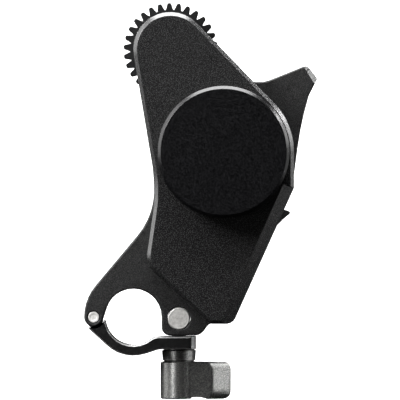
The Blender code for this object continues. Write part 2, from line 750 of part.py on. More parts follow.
def make_front_housing():
    """Raised shell over the motor and the gear train, open at the back."""
    shell = plate("front_housing", [belt(housing_rims)], housing_front, housing_back)
    chamfer_ends(shell, HOUSING_CHAMFER, ends=("front",))
    part(shell, BLACK_ANODISED)

    pocket = plate("gear_pocket", [belt(housing_pocket_rims)], housing_inside,
                   housing_back + OVERRUN)
    motor_hole = hole("motor_hole", motor, rotor_radius + MOVING_GAP,
                      housing_front - OVERRUN, housing_inside + OVERRUN, ROUND_STEPS)
    cut(shell, cutter(pocket), motor_hole)

    cut(shell, edge_wedge("side_band", housing_rims[1], housing_rims[2], BAND_WIDTH,
                          housing_front))

    seat = turned("front_bearing_boss", ring_profile(
        OUTPUT_BEARING_RADIUS + PRESS_GAP + BEARING_BOSS_WALL,
        OUTPUT_BEARING_RADIUS + PRESS_GAP,
        housing_inside - HOUSING_WALL / 2,
        housing_inside + SEAT_GAP + OUTPUT_BEARING_WIDTH), output, hollow=True)
    fuse(shell, cutter(seat))
    fuse(shell, post_set("screw_bosses", housing_screw_spots,
                         housing_inside - HOUSING_WALL / 2, housing_back - SEAT_GAP / 2))


def make_motor_cap():
    """Round cap over the motor, an open cup with a chamfered rim."""
    inside = CAP_RADIUS - CAP_WALL
    profile = [
        (0, cap_front),
        (CAP_RADIUS - CAP_CHAMFER, cap_front),
        (CAP_RADIUS, cap_front + CAP_CHAMFER),
        (CAP_RADIUS, cap_back),
        (inside, cap_back),
        (inside, cap_front + CAP_WALL),
        (0, cap_front + CAP_WALL),
    ]
    part(turned("motor_cap", profile, motor, steps=2 * ROUND_STEPS), CAP_BLACK)


def make_main_body():
    """Rear body: clamp arm, nut lobe, horn and the pocket for the electronics."""
    body = plate("main_body", [belt(body_rims)], body_front, body_back)
    chamfer_ends(body, BODY_CHAMFER)
    part(body, BLACK_ANODISED)

    pocket = plate("board_pocket", [belt(body_pocket_rims)], pocket_floor, body_back + OVERRUN)
    ledge = plate("cover_ledge", [belt(cover_rims)], body_back - COVER_THICKNESS,
                  body_back + OVERRUN)
    horn_end = edge_wedge("horn_end", rim(HORN_HEEL_SHARES), rim(HORN_TIP_SHARES), HORN_CHAMFER,
                          body_front)
    cut(body, cutter(pocket), cutter(ledge), horn_end)

    nut_hole = bore_cutter("nut_hole", nut, NUT_RADIUS + RUNNING_GAP,
                           body_front, body_back, RIM_CHAMFER / 2)
    passage_top = nut.y + SCREW_REACH + MOVING_GAP
    passage = cutter(turned("screw_passage", pin_profile(
        SCREW_RADIUS + MOVING_GAP, passage_top, nut_lobe_floor - OVERRUN, 0),
        (nut.x, 0), SMALL_STEPS, along="z"))
    cut(body, nut_hole, passage)

    floor_middle = pocket_floor - BODY_FLOOR / 2
    cut(body, hole_set("floor_holes", housing_screw_spots,
                       SMALL_SCREW_RADIUS + PRESS_GAP, body_front - OVERRUN,
                       pocket_floor + OVERRUN))
    fuse(body, post_set("standoffs", standoff_spots, floor_middle,
                        board_front - SEAT_GAP))
    fuse(body, post_set("cover_posts", cover_screw_spots, floor_middle,
                        body_back - COVER_THICKNESS - SEAT_GAP / 2))

    recess = box("port_recess",
                 (PORT_LENGTH + 2 * SEAT_GAP, PORT_WIDTH + 2 * SEAT_GAP,
                  2 * (PORT_THICKNESS + SEAT_GAP)), (0, 0, 0), port_matrix)
    tunnel = box("socket_tunnel",
                 (SOCKET_WIDTH + 2 * SEAT_GAP, SOCKET_HEIGHT + 2 * SEAT_GAP,
                  2 * (SOCKET_LENGTH + OVERRUN)), (0, 0, 0), port_matrix)
    cut(body, recess, tunnel)

    slot_side = TONGUE_WIDTH / 2 + MOVING_GAP
    slot = hole("tongue_slot", hinge, HINGE_LOBE_RADIUS + MOVING_GAP,
                -slot_side, slot_side, ROUND_STEPS)
    pin_bore = turned("pin_bore", [
        (0, body_front - OVERRUN),
        (PIN_RECESS_RADIUS, body_front - OVERRUN),
        (PIN_RECESS_RADIUS, body_front + PIN_RECESS_DEPTH),
        (JAW_PIN_RADIUS + PRESS_GAP, body_front + PIN_RECESS_DEPTH),
        (JAW_PIN_RADIUS + PRESS_GAP, body_back - PIN_RECESS_DEPTH),
        (PIN_RECESS_RADIUS, body_back - PIN_RECESS_DEPTH),
        (PIN_RECESS_RADIUS, body_back + OVERRUN),
        (0, body_back + OVERRUN),
    ], hinge, SMALL_STEPS)
    cut(body, slot, cutter(pin_bore))


def make_back_cover():
    """Flat cover let into the body's back, with countersunk screws."""
    cover = plate("back_cover", [belt(inset(cover_rims, SEAT_GAP))],
                  body_back - COVER_THICKNESS + SEAT_GAP, body_back)
    part(cover, BLACK_ANODISED)
    shank = SMALL_SCREW_RADIUS + PRESS_GAP
    head = SMALL_HEAD_RADIUS + PRESS_GAP
    head_seat = body_back - SMALL_HEAD_HEIGHT / 2 - PRESS_GAP
    profile = [
        (0, body_back - COVER_THICKNESS - OVERRUN),
        (shank, body_back - COVER_THICKNESS - OVERRUN),
        (shank, head_seat),
        (head, head_seat),
        (head, body_back + OVERRUN),
        (0, body_back + OVERRUN),
    ]
    sinks = [turned("sink", profile, spot, SMALL_STEPS) for spot in cover_screw_spots]
    cut(cover, cutter(gather("cover_sinks", sinks)))


def small_screw(name, centre, head_back, shank_length, head_height, size_share=1):
    """A small screw whose head faces the back: head and shank as one turned solid."""
    head_front = head_back - head_height
    shank = SMALL_SCREW_RADIUS * size_share
    head = SMALL_HEAD_RADIUS * size_share
    part(turned(name, [
        (0, head_front - shank_length),
        (shank, head_front - shank_length),
        (shank, head_front),
        (head, head_front),
        (head, head_back),
        (0, head_back),
    ], centre, TINY_STEPS), DARK_STEEL)


def make_small_screws():
    """The screws of the back cover, the front housing, the board and the motor mount."""
    flush_head = SMALL_HEAD_HEIGHT / 2
    for number, spot in enumerate(cover_screw_spots, 1):
        small_screw(f"back_cover_screw_{number}", spot, body_back,
                    COVER_SCREW_LENGTH - SEAT_GAP, flush_head)
    for number, spot in enumerate(housing_screw_spots, 1):
        small_screw(f"housing_screw_{number}", spot,
                    pocket_floor + SEAT_GAP + SMALL_HEAD_HEIGHT, HOUSING_SCREW_LENGTH,
                    SMALL_HEAD_HEIGHT)
    for number, spot in enumerate(standoff_spots, 1):
        small_screw(f"board_screw_{number}", spot, board_back + SEAT_GAP + SMALL_HEAD_HEIGHT,
                    BOARD_THICKNESS + COVER_SCREW_LENGTH / 2, SMALL_HEAD_HEIGHT)
    for number, spot in enumerate(mount_screw_spots, 1):
        small_screw(f"motor_mount_screw_{number}", spot,
                    mount_back + PRESS_GAP + flush_head, MOUNT_THICKNESS + PRESS_GAP,
                    flush_head, MOUNT_SCREW_SHARE)


# Motor under the cap

rotor_front = cap_front + CAP_WALL + MOVING_GAP
rotor_back = housing_inside - MOVING_GAP
tube_radius = motor_bearing_radius + PRESS_GAP + tube_wall
tube_front = rotor_front + ROTOR_WALL + 2 * MOVING_GAP
stator_radius = rotor_radius - ROTOR_WALL - PRESS_GAP - MAGNET_THICKNESS - AIR_GAP
stator_middle = (rotor_front + ROTOR_WALL + mount_front) / 2
stator_front = stator_middle - STATOR_THICKNESS / 2
stator_back = stator_middle + STATOR_THICKNESS / 2


def make_motor_mount():
    """Flange behind the housing's front wall, with the tube that holds both bearings."""
    bearing_seat = motor_bearing_radius + PRESS_GAP
    flange = rotor_radius + MOUNT_RIM
    shaft_hole = motor_shaft_radius + MOVING_GAP
    profile = [
        (tube_radius, tube_front),
        (tube_radius, mount_front),
        (flange, mount_front),
        (flange, mount_back),
        (shaft_hole, mount_back),
        (shaft_hole, mount_back - MOUNT_THICKNESS / 2),
        (bearing_seat, mount_back - MOUNT_THICKNESS / 2),
        (bearing_seat, tube_front),
    ]
    mount = part(turned("motor_mount", profile, motor, hollow=True), MILLED_ALLOY)
    cut(mount, hole_set("mount_holes", mount_screw_spots,
                        SMALL_SCREW_RADIUS * MOUNT_SCREW_SHARE + PRESS_GAP,
                        mount_front - OVERRUN, mount_back + OVERRUN, TINY_STEPS))


def make_stator():
    """Laminated core with T-shaped teeth, and a coil round each tooth."""
    back_iron = tube_radius + PRESS_GAP + tube_wall * BACK_IRON_SHARE
    shoe = stator_radius - tube_wall
    pitch = 2 * math.pi / STATOR_TEETH
    neck_end = NECK_SHARE * NECK_TAPER_SHARE
    one_side = [(back_iron, NECK_SHARE), (shoe, neck_end), (shoe, SHOE_SHARE),
                (stator_radius, SHOE_SHARE)]
    tooth_points = [(radius, -turn_share) for radius, turn_share in one_side]
    tooth_points += [(stator_radius, 0)] + one_side[::-1]
    outline = []
    for tooth in range(STATOR_TEETH):
        for radius, turn_share in tooth_points:
            turn = (tooth + turn_share) * pitch
            outline.append(Vector((radius * math.cos(turn), radius * math.sin(turn))))
    core = plate("motor_stator", [outline, circle(tube_radius + PRESS_GAP, ROUND_STEPS)],
                 stator_front, stator_back, motor)
    part(core, CORE_STEEL)

    coil_inside = NECK_SHARE * pitch * back_iron + AIR_GAP / 2
    coil_outside = coil_inside + AIR_GAP * COIL_WALL_SHARE
    coil_middle = (back_iron + shoe) / 2
    coil_length = (shoe - back_iron) * COIL_LENGTH_SHARE
    half_height = STATOR_THICKNESS / 2 + AIR_GAP / 2
    coil_frame = [rectangle(coil_outside, half_height + AIR_GAP),
                  rectangle(coil_inside, half_height)]
    coils = []
    for tooth in range(STATOR_TEETH):
        turn = tooth * pitch
        frame = (Matrix.Translation((motor.x, stator_middle, motor.y))
                 @ Matrix.Rotation(-turn, 4, "Y") @ Matrix.Translation((coil_middle, 0, 0))
                 @ Matrix(((0, 0, 1, 0), (0, 1, 0, 0), (-1, 0, 0, 0), (0, 0, 0, 1))))
        coils.append(slab("coil", coil_frame, coil_length, frame))
    link_middle = stator_middle + half_height + AIR_GAP / 2
    windings = part(turned("motor_windings", ring_profile(
        coil_middle + AIR_GAP, coil_middle - AIR_GAP, link_middle - AIR_GAP / 4,
        link_middle + AIR_GAP), motor, hollow=True), WINDING_COPPER)
    fuse(windings, cutter(gather("coils", coils)))


def make_rotor():
    """Rotor bell, its ring of magnets, and the shaft with its pinion."""
    inside = rotor_radius - ROTOR_WALL
    hub = motor_shaft_radius + PRESS_GAP
    profile = [
        (rotor_radius, rotor_front),
        (rotor_radius, rotor_back),
        (inside, rotor_back),
        (inside, rotor_front + ROTOR_WALL),
        (hub, rotor_front + ROTOR_WALL),
        (hub, rotor_front),
    ]
    part(turned("motor_rotor", profile, motor, hollow=True), DARK_STEEL)

    outer = inside - PRESS_GAP
    part(turned("rotor_magnet", ring_profile(
        outer, outer - MAGNET_THICKNESS, stator_front - AIR_GAP, rotor_back - AIR_GAP),
        motor, hollow=True), MAGNET_NICKEL)

    shaft = part(turned("motor_shaft", pin_profile(
        motor_shaft_radius, rotor_front, train_middle, PRESS_GAP), motor, SMALL_STEPS),
        BRIGHT_STEEL)
    pinion = plate("pinion_teeth", [gear_outline(
        PINION_TEETH, TRAIN_MODULE, STUB_SHARE, STUB_ROOT_SHARE, TRAIN_BACKLASH,
        phases["motor"])],
        train_front, train_middle, motor)
    fuse(shaft, cutter(pinion))

    seats = {
        "motor_bearing_front": tube_front,
        "motor_bearing_rear": mount_back - MOUNT_THICKNESS / 2 - MOTOR_BEARING_WIDTH - 2 * SEAT_GAP,
    }
    for name, front in seats.items():
        part(turned(name, ring_profile(
            motor_bearing_radius, motor_shaft_radius + RUNNING_GAP,
            front + SEAT_GAP, front + SEAT_GAP + MOTOR_BEARING_WIDTH), motor,
            SMALL_STEPS, hollow=True), BRIGHT_STEEL)


# Gear train

phases = {"output": math.pi / 2}
phases["idler_b"] = mesh_phase(output, OUTPUT_TEETH, phases["output"], idler_b, IDLER_B_TEETH)
phases["idler_a_pinion"] = mesh_phase(
    idler_b, IDLER_B_TEETH, phases["idler_b"], idler_a, IDLER_A_PINION_TEETH)
phases["idler_a"] = phases["idler_a_pinion"]
phases["motor"] = mesh_phase(idler_a, IDLER_A_TEETH, phases["idler_a"], motor, PINION_TEETH)


def train_gear(name, teeth, phase, front, back, centre, bore, steps=SMALL_STEPS):
    """One spur gear of the train, with its bore."""
    outline = gear_outline(teeth, TRAIN_MODULE, STUB_SHARE, STUB_ROOT_SHARE, TRAIN_BACKLASH,
                           phase)
    return plate(name, [outline, circle(bore, steps)], front, back, centre)


def make_idlers():
    """The two idler gears and the pins that they turn on."""
    bore = IDLER_PIN_RADIUS + RUNNING_GAP
    pair = train_gear("idler_gear_a", IDLER_A_TEETH, phases["idler_a"],
                      train_front, train_middle, idler_a, bore)
    part(pair, GEAR_BRASS)
    small = train_gear("idler_a_pinion", IDLER_A_PINION_TEETH, phases["idler_a_pinion"],
                       train_middle - TRAIN_FACE / 2, train_back, idler_a, bore)
    fuse(pair, cutter(small))
    single = train_gear("idler_gear_b", IDLER_B_TEETH, phases["idler_b"],
                        train_middle + MOVING_GAP, train_back, idler_b, bore)
    part(single, GEAR_BRASS)
    for name, centre in (("idler_pin_a", idler_a), ("idler_pin_b", idler_b)):
        part(turned(name, pin_profile(IDLER_PIN_RADIUS, train_front, plate_back, PRESS_GAP),
                    centre, SMALL_STEPS), BRIGHT_STEEL)


def make_gearbox_plate():
    """Plate that closes the gear train at the back and holds the pins and the rear bearing."""
    cover = plate("gearbox_plate", [belt(inset(housing_pocket_rims, SEAT_GAP))],
                  plate_front, plate_back)
    part(cover, MILLED_ALLOY)
    past = (plate_front - OVERRUN, plate_back + OVERRUN)
    cut(cover, hole_set("pin_seats", (idler_a, idler_b), IDLER_PIN_RADIUS + PRESS_GAP, *past))
    cut(cover, hole("rear_bearing_seat", output, OUTPUT_BEARING_RADIUS + PRESS_GAP, *past,
                    ROUND_STEPS))
    cut(cover, hole_set("boss_rooms", housing_screw_spots,
                        SCREW_BOSS_RADIUS + SEAT_GAP, *past))


def make_output():
    """Output gear and shaft, its two bearings, the drive gear and its screw."""
    bore = OUTPUT_SHAFT_RADIUS + PRESS_GAP
    inner = train_gear("output_gear", OUTPUT_TEETH, phases["output"],
                       train_middle + MOVING_GAP, train_back, output, bore, ROUND_STEPS)
    part(inner, GEAR_BRASS)

    front_seat = housing_inside + SEAT_GAP
    shaft = part(turned("output_shaft", pin_profile(
        OUTPUT_SHAFT_RADIUS, front_seat, drive_back - SEAT_GAP, PRESS_GAP), output, ROUND_STEPS),
        BRIGHT_STEEL)
    cut(shaft, hole("shaft_thread", output, SMALL_SCREW_RADIUS + PRESS_GAP,
                    drive_back - COVER_SCREW_LENGTH, drive_back + OVERRUN))
    for name, front in (("bearing_front", front_seat),
                        ("bearing_rear", plate_back - OUTPUT_BEARING_WIDTH)):
        part(turned(name, ring_profile(
            OUTPUT_BEARING_RADIUS, OUTPUT_SHAFT_RADIUS + RUNNING_GAP,
            front, front + OUTPUT_BEARING_WIDTH), output, hollow=True), BRIGHT_STEEL)

    teeth = gear_outline(DRIVE_TEETH, DRIVE_MODULE, 1, DRIVE_ROOT_SHARE, TRAIN_BACKLASH,
                         DRIVE_TURN, DRIVE_MODULE * DRIVE_TIP_ROUND_SHARE)
    gear = plate("drive_gear", [teeth, circle(bore, ROUND_STEPS)], drive_front, drive_back,
                 output)
    part(gear, GEAR_POLYMER)
    rim_inside = drive_root_radius - DRIVE_RIM
    web_front = (drive_front + drive_back - DRIVE_WEB) / 2
    for name, front, back in (("web_front", drive_front - OVERRUN, web_front),
                              ("web_back", web_front + DRIVE_WEB, drive_back + OVERRUN)):
        cut(gear, cutter(turned(name, ring_profile(
            rim_inside, DRIVE_HUB_RADIUS, front, back), output, hollow=True)))
    ring = (rim_inside + DRIVE_HUB_RADIUS) / 2
    spots = moved(circle(ring, WEB_HOLES), output)
    cut(gear, hole_set("web_holes", spots, DRIVE_WEB / 3, drive_front, drive_back, TINY_STEPS))

    part(turned("gear_screw", [
        (0, drive_back - COVER_SCREW_LENGTH + SEAT_GAP),
        (SMALL_SCREW_RADIUS, drive_back - COVER_SCREW_LENGTH + SEAT_GAP),
        (SMALL_SCREW_RADIUS, drive_back + SEAT_GAP),
        (2 * SMALL_HEAD_RADIUS, drive_back + SEAT_GAP),
        (2 * SMALL_HEAD_RADIUS, drive_back + SMALL_HEAD_HEIGHT),
        (SMALL_HEAD_RADIUS, drive_back + 2 * SMALL_HEAD_HEIGHT),
        (SMALL_SCREW_RADIUS, drive_back + 2 * SMALL_HEAD_HEIGHT),
        (SMALL_SCREW_RADIUS, drive_back + SMALL_HEAD_HEIGHT),
        (0, drive_back + SMALL_HEAD_HEIGHT),
    ], output, SMALL_STEPS), DARK_STEEL)


# Rod clamp

def make_clamp_jaw():
    """Hinged lower half of the clamp: arc, straight bar, and the tongue on the pin."""
    outer = bore_radius + JAW_WALL
    knee = JAW_BAR_HEIGHT
    bar_end = nut.x + COLLAR_RADIUS
    lobe_room = HINGE_LOBE_RADIUS + HINGE_GAP
    lip = HINGE_LOBE_RADIUS * LIP_SHARE
    inner_lip = two_link_joint(Vector((0, 0)), bore_radius + lip, hinge, lobe_room + lip)
    outer_lip = hinge + (lobe_room + lip) * Vector(
        (math.cos(OUTER_LIP_LEAN), math.sin(OUTER_LIP_LEAN)))
    rims = [
        (0, 0, outer),
        (bore_radius, jaw_bar_floor - knee, -knee),
        (bar_end, jaw_bar_floor, 0),
        (bar_end, jaw_bar_top, 0),
        (bore_radius - knee / 4, jaw_bar_top - knee, knee),
        (0, 0, -bore_radius),
        (inner_lip.x, inner_lip.y, lip),
        (hinge.x, hinge.y, -lobe_room),
        (outer_lip.x, outer_lip.y, lip),
    ]
    jaw = plate("clamp_jaw", [moved(belt(rims), -hinge)], body_front, body_back, hinge)
    chamfer_ends(jaw, EDGE_CHAMFER)
    part(jaw, BLACK_ANODISED)
    corner_x = bar_end - JAW_END_CORNER
    corner_y = body_back - JAW_END_CORNER
    plan = slab("jaw_plan", [belt([
        (-2 * outer, body_front - OVERRUN, 0),
        (corner_x, -corner_y, JAW_END_CORNER),
        (corner_x, corner_y, JAW_END_CORNER),
        (-2 * outer, body_back + OVERRUN, 0),
    ])], 4 * outer, Matrix.Identity(4))
    combine(jaw, cutter(plan), "INTERSECT")

    root = [HINGE_LOBE_RADIUS * share for share in TONGUE_ROOT_SHARES]
    tongue_rims = [(0, 0, HINGE_LOBE_RADIUS), tuple(root)]
    tongue = plate("jaw_tongue", [belt(tongue_rims), circle(JAW_PIN_RADIUS + RUNNING_GAP)],
                   -TONGUE_WIDTH / 2, TONGUE_WIDTH / 2, hinge)
    fuse(jaw, cutter(tongue))

    slack = lever_travel * (nut.y - jaw_bar_floor) / (nut.x - hinge.x)
    slot_rims = [
        (-slack, 0, SCREW_RADIUS + MOVING_GAP),
        (slack, 0, SCREW_RADIUS + MOVING_GAP),
    ]
    middle = (jaw_bar_top + jaw_bar_floor) / 2
    slot = slab("screw_slot", [belt(slot_rims)], JAW_BAR_HEIGHT + 2 * OVERRUN,
                Matrix.Translation((nut.x, 0, middle)))
    cut(jaw, cutter(slot))


def make_clamp_pins():
    """The jaw's hinge pin and the cross nut."""
    part(turned("jaw_pin", pin_profile(
        JAW_PIN_RADIUS, body_front + PIN_RECESS_DEPTH / 2, body_back - PIN_RECESS_DEPTH / 2,
        RIM_CHAMFER / 2), hinge, SMALL_STEPS), BRIGHT_STEEL)
    barrel = part(turned("barrel_nut", pin_profile(
        NUT_RADIUS, body_front, body_back, RIM_CHAMFER), nut, ROUND_STEPS), BRIGHT_STEEL)
    thread = turned("nut_thread", pin_profile(
        SCREW_RADIUS + RUNNING_GAP, nut.y + NUT_RADIUS + OVERRUN,
        nut.y - NUT_RADIUS - OVERRUN, 0), (nut.x, 0), SMALL_STEPS, along="z")
    cut(barrel, cutter(thread))


def make_clamp_drive():
    """Collar, screw and lever on the upright screw axis."""
    axis = (nut.x, 0)
    waist = COLLAR_RADIUS - COLLAR_WAIST
    hole_radius = SCREW_RADIUS + RUNNING_GAP
    collar = [
        (COLLAR_RADIUS - COLLAR_WAIST, collar_top),
        (COLLAR_RADIUS, collar_top - COLLAR_WAIST),
        (waist, collar_floor),
        (hole_radius, collar_floor),
        (hole_radius, collar_top),
    ]
    part(turned("clamp_collar", collar, axis, along="z", hollow=True), DARK_STEEL)

    head_top = lever_floor + SCREW_HEAD_HEIGHT
    screw = [
        (0, nut.y + SCREW_REACH),
        (SCREW_RADIUS - COLLAR_WAIST, nut.y + SCREW_REACH),
        (SCREW_RADIUS, nut.y + SCREW_REACH - COLLAR_WAIST),
        (SCREW_RADIUS, head_top),
        (SCREW_HEAD_RADIUS, head_top),
        (SCREW_HEAD_RADIUS, lever_floor + COLLAR_WAIST),
        (SCREW_HEAD_RADIUS - COLLAR_WAIST, lever_floor),
        (0, lever_floor),
    ]
    fastener = part(turned("clamp_screw", screw, axis, along="z"), DARK_STEEL)
    hexagon = slab("screw_socket", [circle(SCREW_SOCKET_RADIUS, 6)], SCREW_HEAD_HEIGHT,
                   Matrix.Translation((nut.x, 0, lever_floor)))
    cut(fastener, cutter(hexagon))

    lever = slab("clamp_lever", [belt(lever_rims())], LEVER_HEIGHT, Matrix.Translation(
        (nut.x, 0, (lever_top + lever_floor) / 2)))
    chamfer_ends(lever, EDGE_CHAMFER)
    part(lever, LEVER_SATIN)
    tip = nut.x + LEVER_REACH
    corner = LEVER_END_CORNER
    envelope = plate("lever_envelope", [belt([
        (nut.x - 2 * LEVER_HUB_RADIUS, lever_floor, 0),
        (tip - corner, lever_floor + corner, corner),
        (tip - corner, lever_top - corner, corner),
        (nut.x - 2 * LEVER_HUB_RADIUS, lever_top, 0),
    ])], -LEVER_REACH, LEVER_REACH)
    combine(lever, cutter(envelope), "INTERSECT")
    counterbore = cutter(turned("lever_bore", [
        (0, lever_top + OVERRUN),
        (SCREW_RADIUS + PRESS_GAP, lever_top + OVERRUN),
        (SCREW_RADIUS + PRESS_GAP, head_top + PRESS_GAP),
        (SCREW_HEAD_RADIUS + PRESS_GAP, head_top + PRESS_GAP),
        (SCREW_HEAD_RADIUS + PRESS_GAP, lever_floor - OVERRUN),
        (0, lever_floor - OVERRUN),
    ], axis, along="z"))
    middle_share, half_share = LEVER_ARCH_SHARES
    half_width = half_share * LEVER_REACH
    radius = (half_width ** 2 + LEVER_ARCH_RISE ** 2) / (2 * LEVER_ARCH_RISE)
    arch_centre = (nut.x + middle_share * LEVER_REACH, lever_floor + LEVER_ARCH_RISE - radius)
    cut(lever, counterbore, hole("lever_arch", arch_centre, radius, -LEVER_REACH, LEVER_REACH,
                                 3 * ROUND_STEPS))


def lever_rims():
    """Plan of the lever round the screw axis: hub, flat-faced arm and swept-back tip."""
    front = -LEVER_HUB_RADIUS + LEVER_FACE_SETBACK
    fillet = LEVER_CORNER
    tip_radius = fillet * LEVER_TIP_SHARE
    hollow = fillet * LEVER_HOLLOW_SHARE
    knee = LEVER_REACH - LEVER_TIP_SWEEP
    back = front + LEVER_ARM_THICKNESS
    return [
        (0, 0, LEVER_HUB_RADIUS),
        (fillet * LEVER_HEEL_SHARE, front - fillet, -fillet),
        (knee - fillet, front + fillet, fillet),
        (LEVER_REACH - tip_radius, back, tip_radius),
        (LEVER_REACH / 2, back + hollow, -hollow),
    ]


# Board, socket and port cover

def make_electronics():
    """Circuit board with its chips, and the cable socket."""
    board = plate("circuit_board", [belt(board_rims)], board_front, board_back)
    part(board, BOARD_GREEN)
    past = (board_front - OVERRUN, board_back + OVERRUN)
    cut(board, hole_set("board_holes", standoff_spots,
                        SMALL_SCREW_RADIUS + PRESS_GAP, *past, TINY_STEPS))
    cut(board, hole_set("post_rooms", cover_screw_spots[2:],
                        SCREW_BOSS_RADIUS + MOVING_GAP, *past))
    chip_height = board_back + BOARD_THICKNESS
    for number, (rise_share, size_share) in enumerate(CHIP_SHARES, 1):
        side = size_share * cover_ring
        block = plate(f"chip_{number}", [rectangle(side, side)],
                      board_back - BOARD_THICKNESS / 2, chip_height,
                      (MOTOR_RIGHT, rise_share * MOTOR_RISE))
        fuse(board, cutter(block))

    corner = SOCKET_HEIGHT / 2
    half = SOCKET_WIDTH / 2 - corner
    outside = [(-half, 0, corner), (half, 0, corner)]
    tongue_rims = [(-half, 0, corner / 4), (half, 0, corner / 4)]
    mouth = -PORT_THICKNESS - SEAT_GAP
    frame = port_matrix @ Matrix.Translation((0, 0, mouth - SOCKET_LENGTH / 2))
    shell = slab("usb_socket", [belt(outside)], SOCKET_LENGTH, frame)
    part(shell, BRIGHT_STEEL)
    cavity = slab("socket_cavity", [belt(inset(outside, SOCKET_SHELL)), belt(tongue_rims)],
                  SOCKET_LENGTH, frame @ Matrix.Translation((0, 0, SOCKET_LENGTH / 4)))
    cut(shell, cutter(cavity))


def make_port_cover():
    """Rubber cover over the socket, with a pull lip at its upper end."""
    lip_start = PORT_LENGTH + LIP_OUTLINE_SHARES[0][0] * PORT_LIP
    outline = [(0, -PORT_THICKNESS), (lip_start, -PORT_THICKNESS)]
    outline += [(PORT_LENGTH + along * PORT_LIP, out * PORT_LIP)
                for along, out in LIP_OUTLINE_SHARES]
    outline.append((0, 0))
    points = [Vector((along * port_up.x + out * port_out.x, along * port_up.y + out * port_out.y))
              for along, out in outline]
    flap = plate("port_cover", [points], -PORT_WIDTH / 2, PORT_WIDTH / 2, port_hinge)
    part(flap, RUBBER_GREY)


for item in list(bpy.data.objects):
    bpy.data.objects.remove(item)
PARTS, CUTTERS = collections()

make_front_housing()
make_motor_cap()
make_main_body()
make_back_cover()
make_small_screws()
make_motor_mount()
make_stator()
make_rotor()
make_idlers()
make_gearbox_plate()
make_output()
make_clamp_jaw()
make_clamp_pins()
make_clamp_drive()
make_electronics()
make_port_cover()
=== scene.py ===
# %% [markdown]
# # A lens focus motor on its rod clamp
#
# The real unit turns a lens's focus ring for a camera operator. A round motor sits under the
# large cap, a gear train inside the long housing carries its turn up to a toothed gear, and the
# hinged clamp below closes on a 15 mm rod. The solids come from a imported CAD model. This
# lesson dresses them: soft edges, real screw heads, gear teeth with their curves, anodising,
# turned steel and rubber, and the light of a product photograph.

# %% Load the frame
import json
import math
import bmesh
import bpy
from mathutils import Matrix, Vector

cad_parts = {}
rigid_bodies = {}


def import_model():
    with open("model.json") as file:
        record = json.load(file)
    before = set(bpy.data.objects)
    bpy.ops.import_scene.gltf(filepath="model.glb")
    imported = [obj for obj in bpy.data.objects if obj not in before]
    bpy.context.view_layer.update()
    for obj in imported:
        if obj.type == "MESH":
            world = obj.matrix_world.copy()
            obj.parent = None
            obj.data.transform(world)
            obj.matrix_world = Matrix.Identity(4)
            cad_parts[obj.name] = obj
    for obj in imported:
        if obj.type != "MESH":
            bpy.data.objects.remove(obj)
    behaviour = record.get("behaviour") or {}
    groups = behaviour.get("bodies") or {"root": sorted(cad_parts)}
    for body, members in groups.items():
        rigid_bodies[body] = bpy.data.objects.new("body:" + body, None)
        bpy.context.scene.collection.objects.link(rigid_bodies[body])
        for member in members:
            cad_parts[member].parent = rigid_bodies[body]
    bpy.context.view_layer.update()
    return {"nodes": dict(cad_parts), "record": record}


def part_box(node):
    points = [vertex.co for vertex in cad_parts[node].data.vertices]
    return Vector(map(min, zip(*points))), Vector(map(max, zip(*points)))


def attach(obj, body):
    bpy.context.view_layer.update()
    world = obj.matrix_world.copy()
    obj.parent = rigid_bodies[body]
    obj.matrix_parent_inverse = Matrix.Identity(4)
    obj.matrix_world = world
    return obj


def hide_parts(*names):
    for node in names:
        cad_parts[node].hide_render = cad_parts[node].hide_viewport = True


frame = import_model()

MM = 0.001

# %% [markdown]
# ## Where the photographer stood
#
# The unit is seen straight from the front and from quite far off, so its sides hardly show. A
# long lens does that: the camera is 2 m away and level with the middle of the picture.

# %% Camera
VIEW_WIDTH = 108.0 * MM           # what the picture spans at the housing's depth
CAMERA_REACH = 2.0
MIDDLE_DEPTH = -12.0 * MM
PICTURE_MIDDLE = Vector((18.06 * MM, MIDDLE_DEPTH, 31.7 * MM))

lens_data = bpy.data.cameras.new("camera")
lens_data.sensor_width = 36
lens_data.lens = lens_data.sensor_width * CAMERA_REACH / VIEW_WIDTH
lens_data.clip_start = 0.05
lens_data.clip_end = 20
camera = bpy.data.objects.new("camera", lens_data)
camera.location = PICTURE_MIDDLE - Vector((0, CAMERA_REACH, 0))
camera.rotation_euler = (math.pi / 2, 0, 0)
bpy.context.scene.collection.objects.link(camera)
bpy.context.scene.camera = camera
print("focal length", round(lens_data.lens), "mm")

# %% [markdown]
# ## Small tools for modelling as by hand
#
# Each new piece starts as a primitive at its real size and place. An operator acts on all that
# is selected, so `pick` first clears the selection and then takes only the faces or edges that
# pass a test of their place or direction.

# %% Selection tools
def fresh(name):
    """Names the primitive that was just added and opens it in edit mode."""
    piece = bpy.context.object
    piece.name = name
    piece.data.name = name
    bpy.ops.object.transform_apply(location=True, rotation=True, scale=True)
    bpy.ops.object.mode_set(mode="EDIT")
    return piece


def ready():
    """Leaves edit mode with nothing selected, so that the next primitive is on its own."""
    if bpy.context.object and bpy.context.object.mode == "EDIT":
        bpy.ops.object.mode_set(mode="OBJECT")
    bpy.ops.object.select_all(action="DESELECT")


def only(piece):
    """Makes a piece the one selected and active object."""
    ready()
    piece.select_set(True)
    bpy.context.view_layer.objects.active = piece


def edit(piece):
    """Opens one piece in edit mode."""
    only(piece)
    bpy.ops.object.mode_set(mode="EDIT")


def pick(kind, test):
    """Selects the faces or edges of the mesh in edit mode that pass a test."""
    bpy.ops.mesh.select_mode(type=kind)
    bpy.ops.mesh.select_all(action="DESELECT")
    shape = bmesh.from_edit_mesh(bpy.context.object.data)
    chosen = shape.faces if kind == "FACE" else shape.edges
    for item in chosen:
        item.select_set(bool(test(item)))
    shape.select_flush_mode()
    bmesh.update_edit_mesh(bpy.context.object.data)


ALONG = 0.99                      # a normal's share along a direction, 1 for exactly along it


def facing(direction):
    """A test for faces that look along a direction."""
    return lambda face: face.normal.dot(Vector(direction)) > ALONG


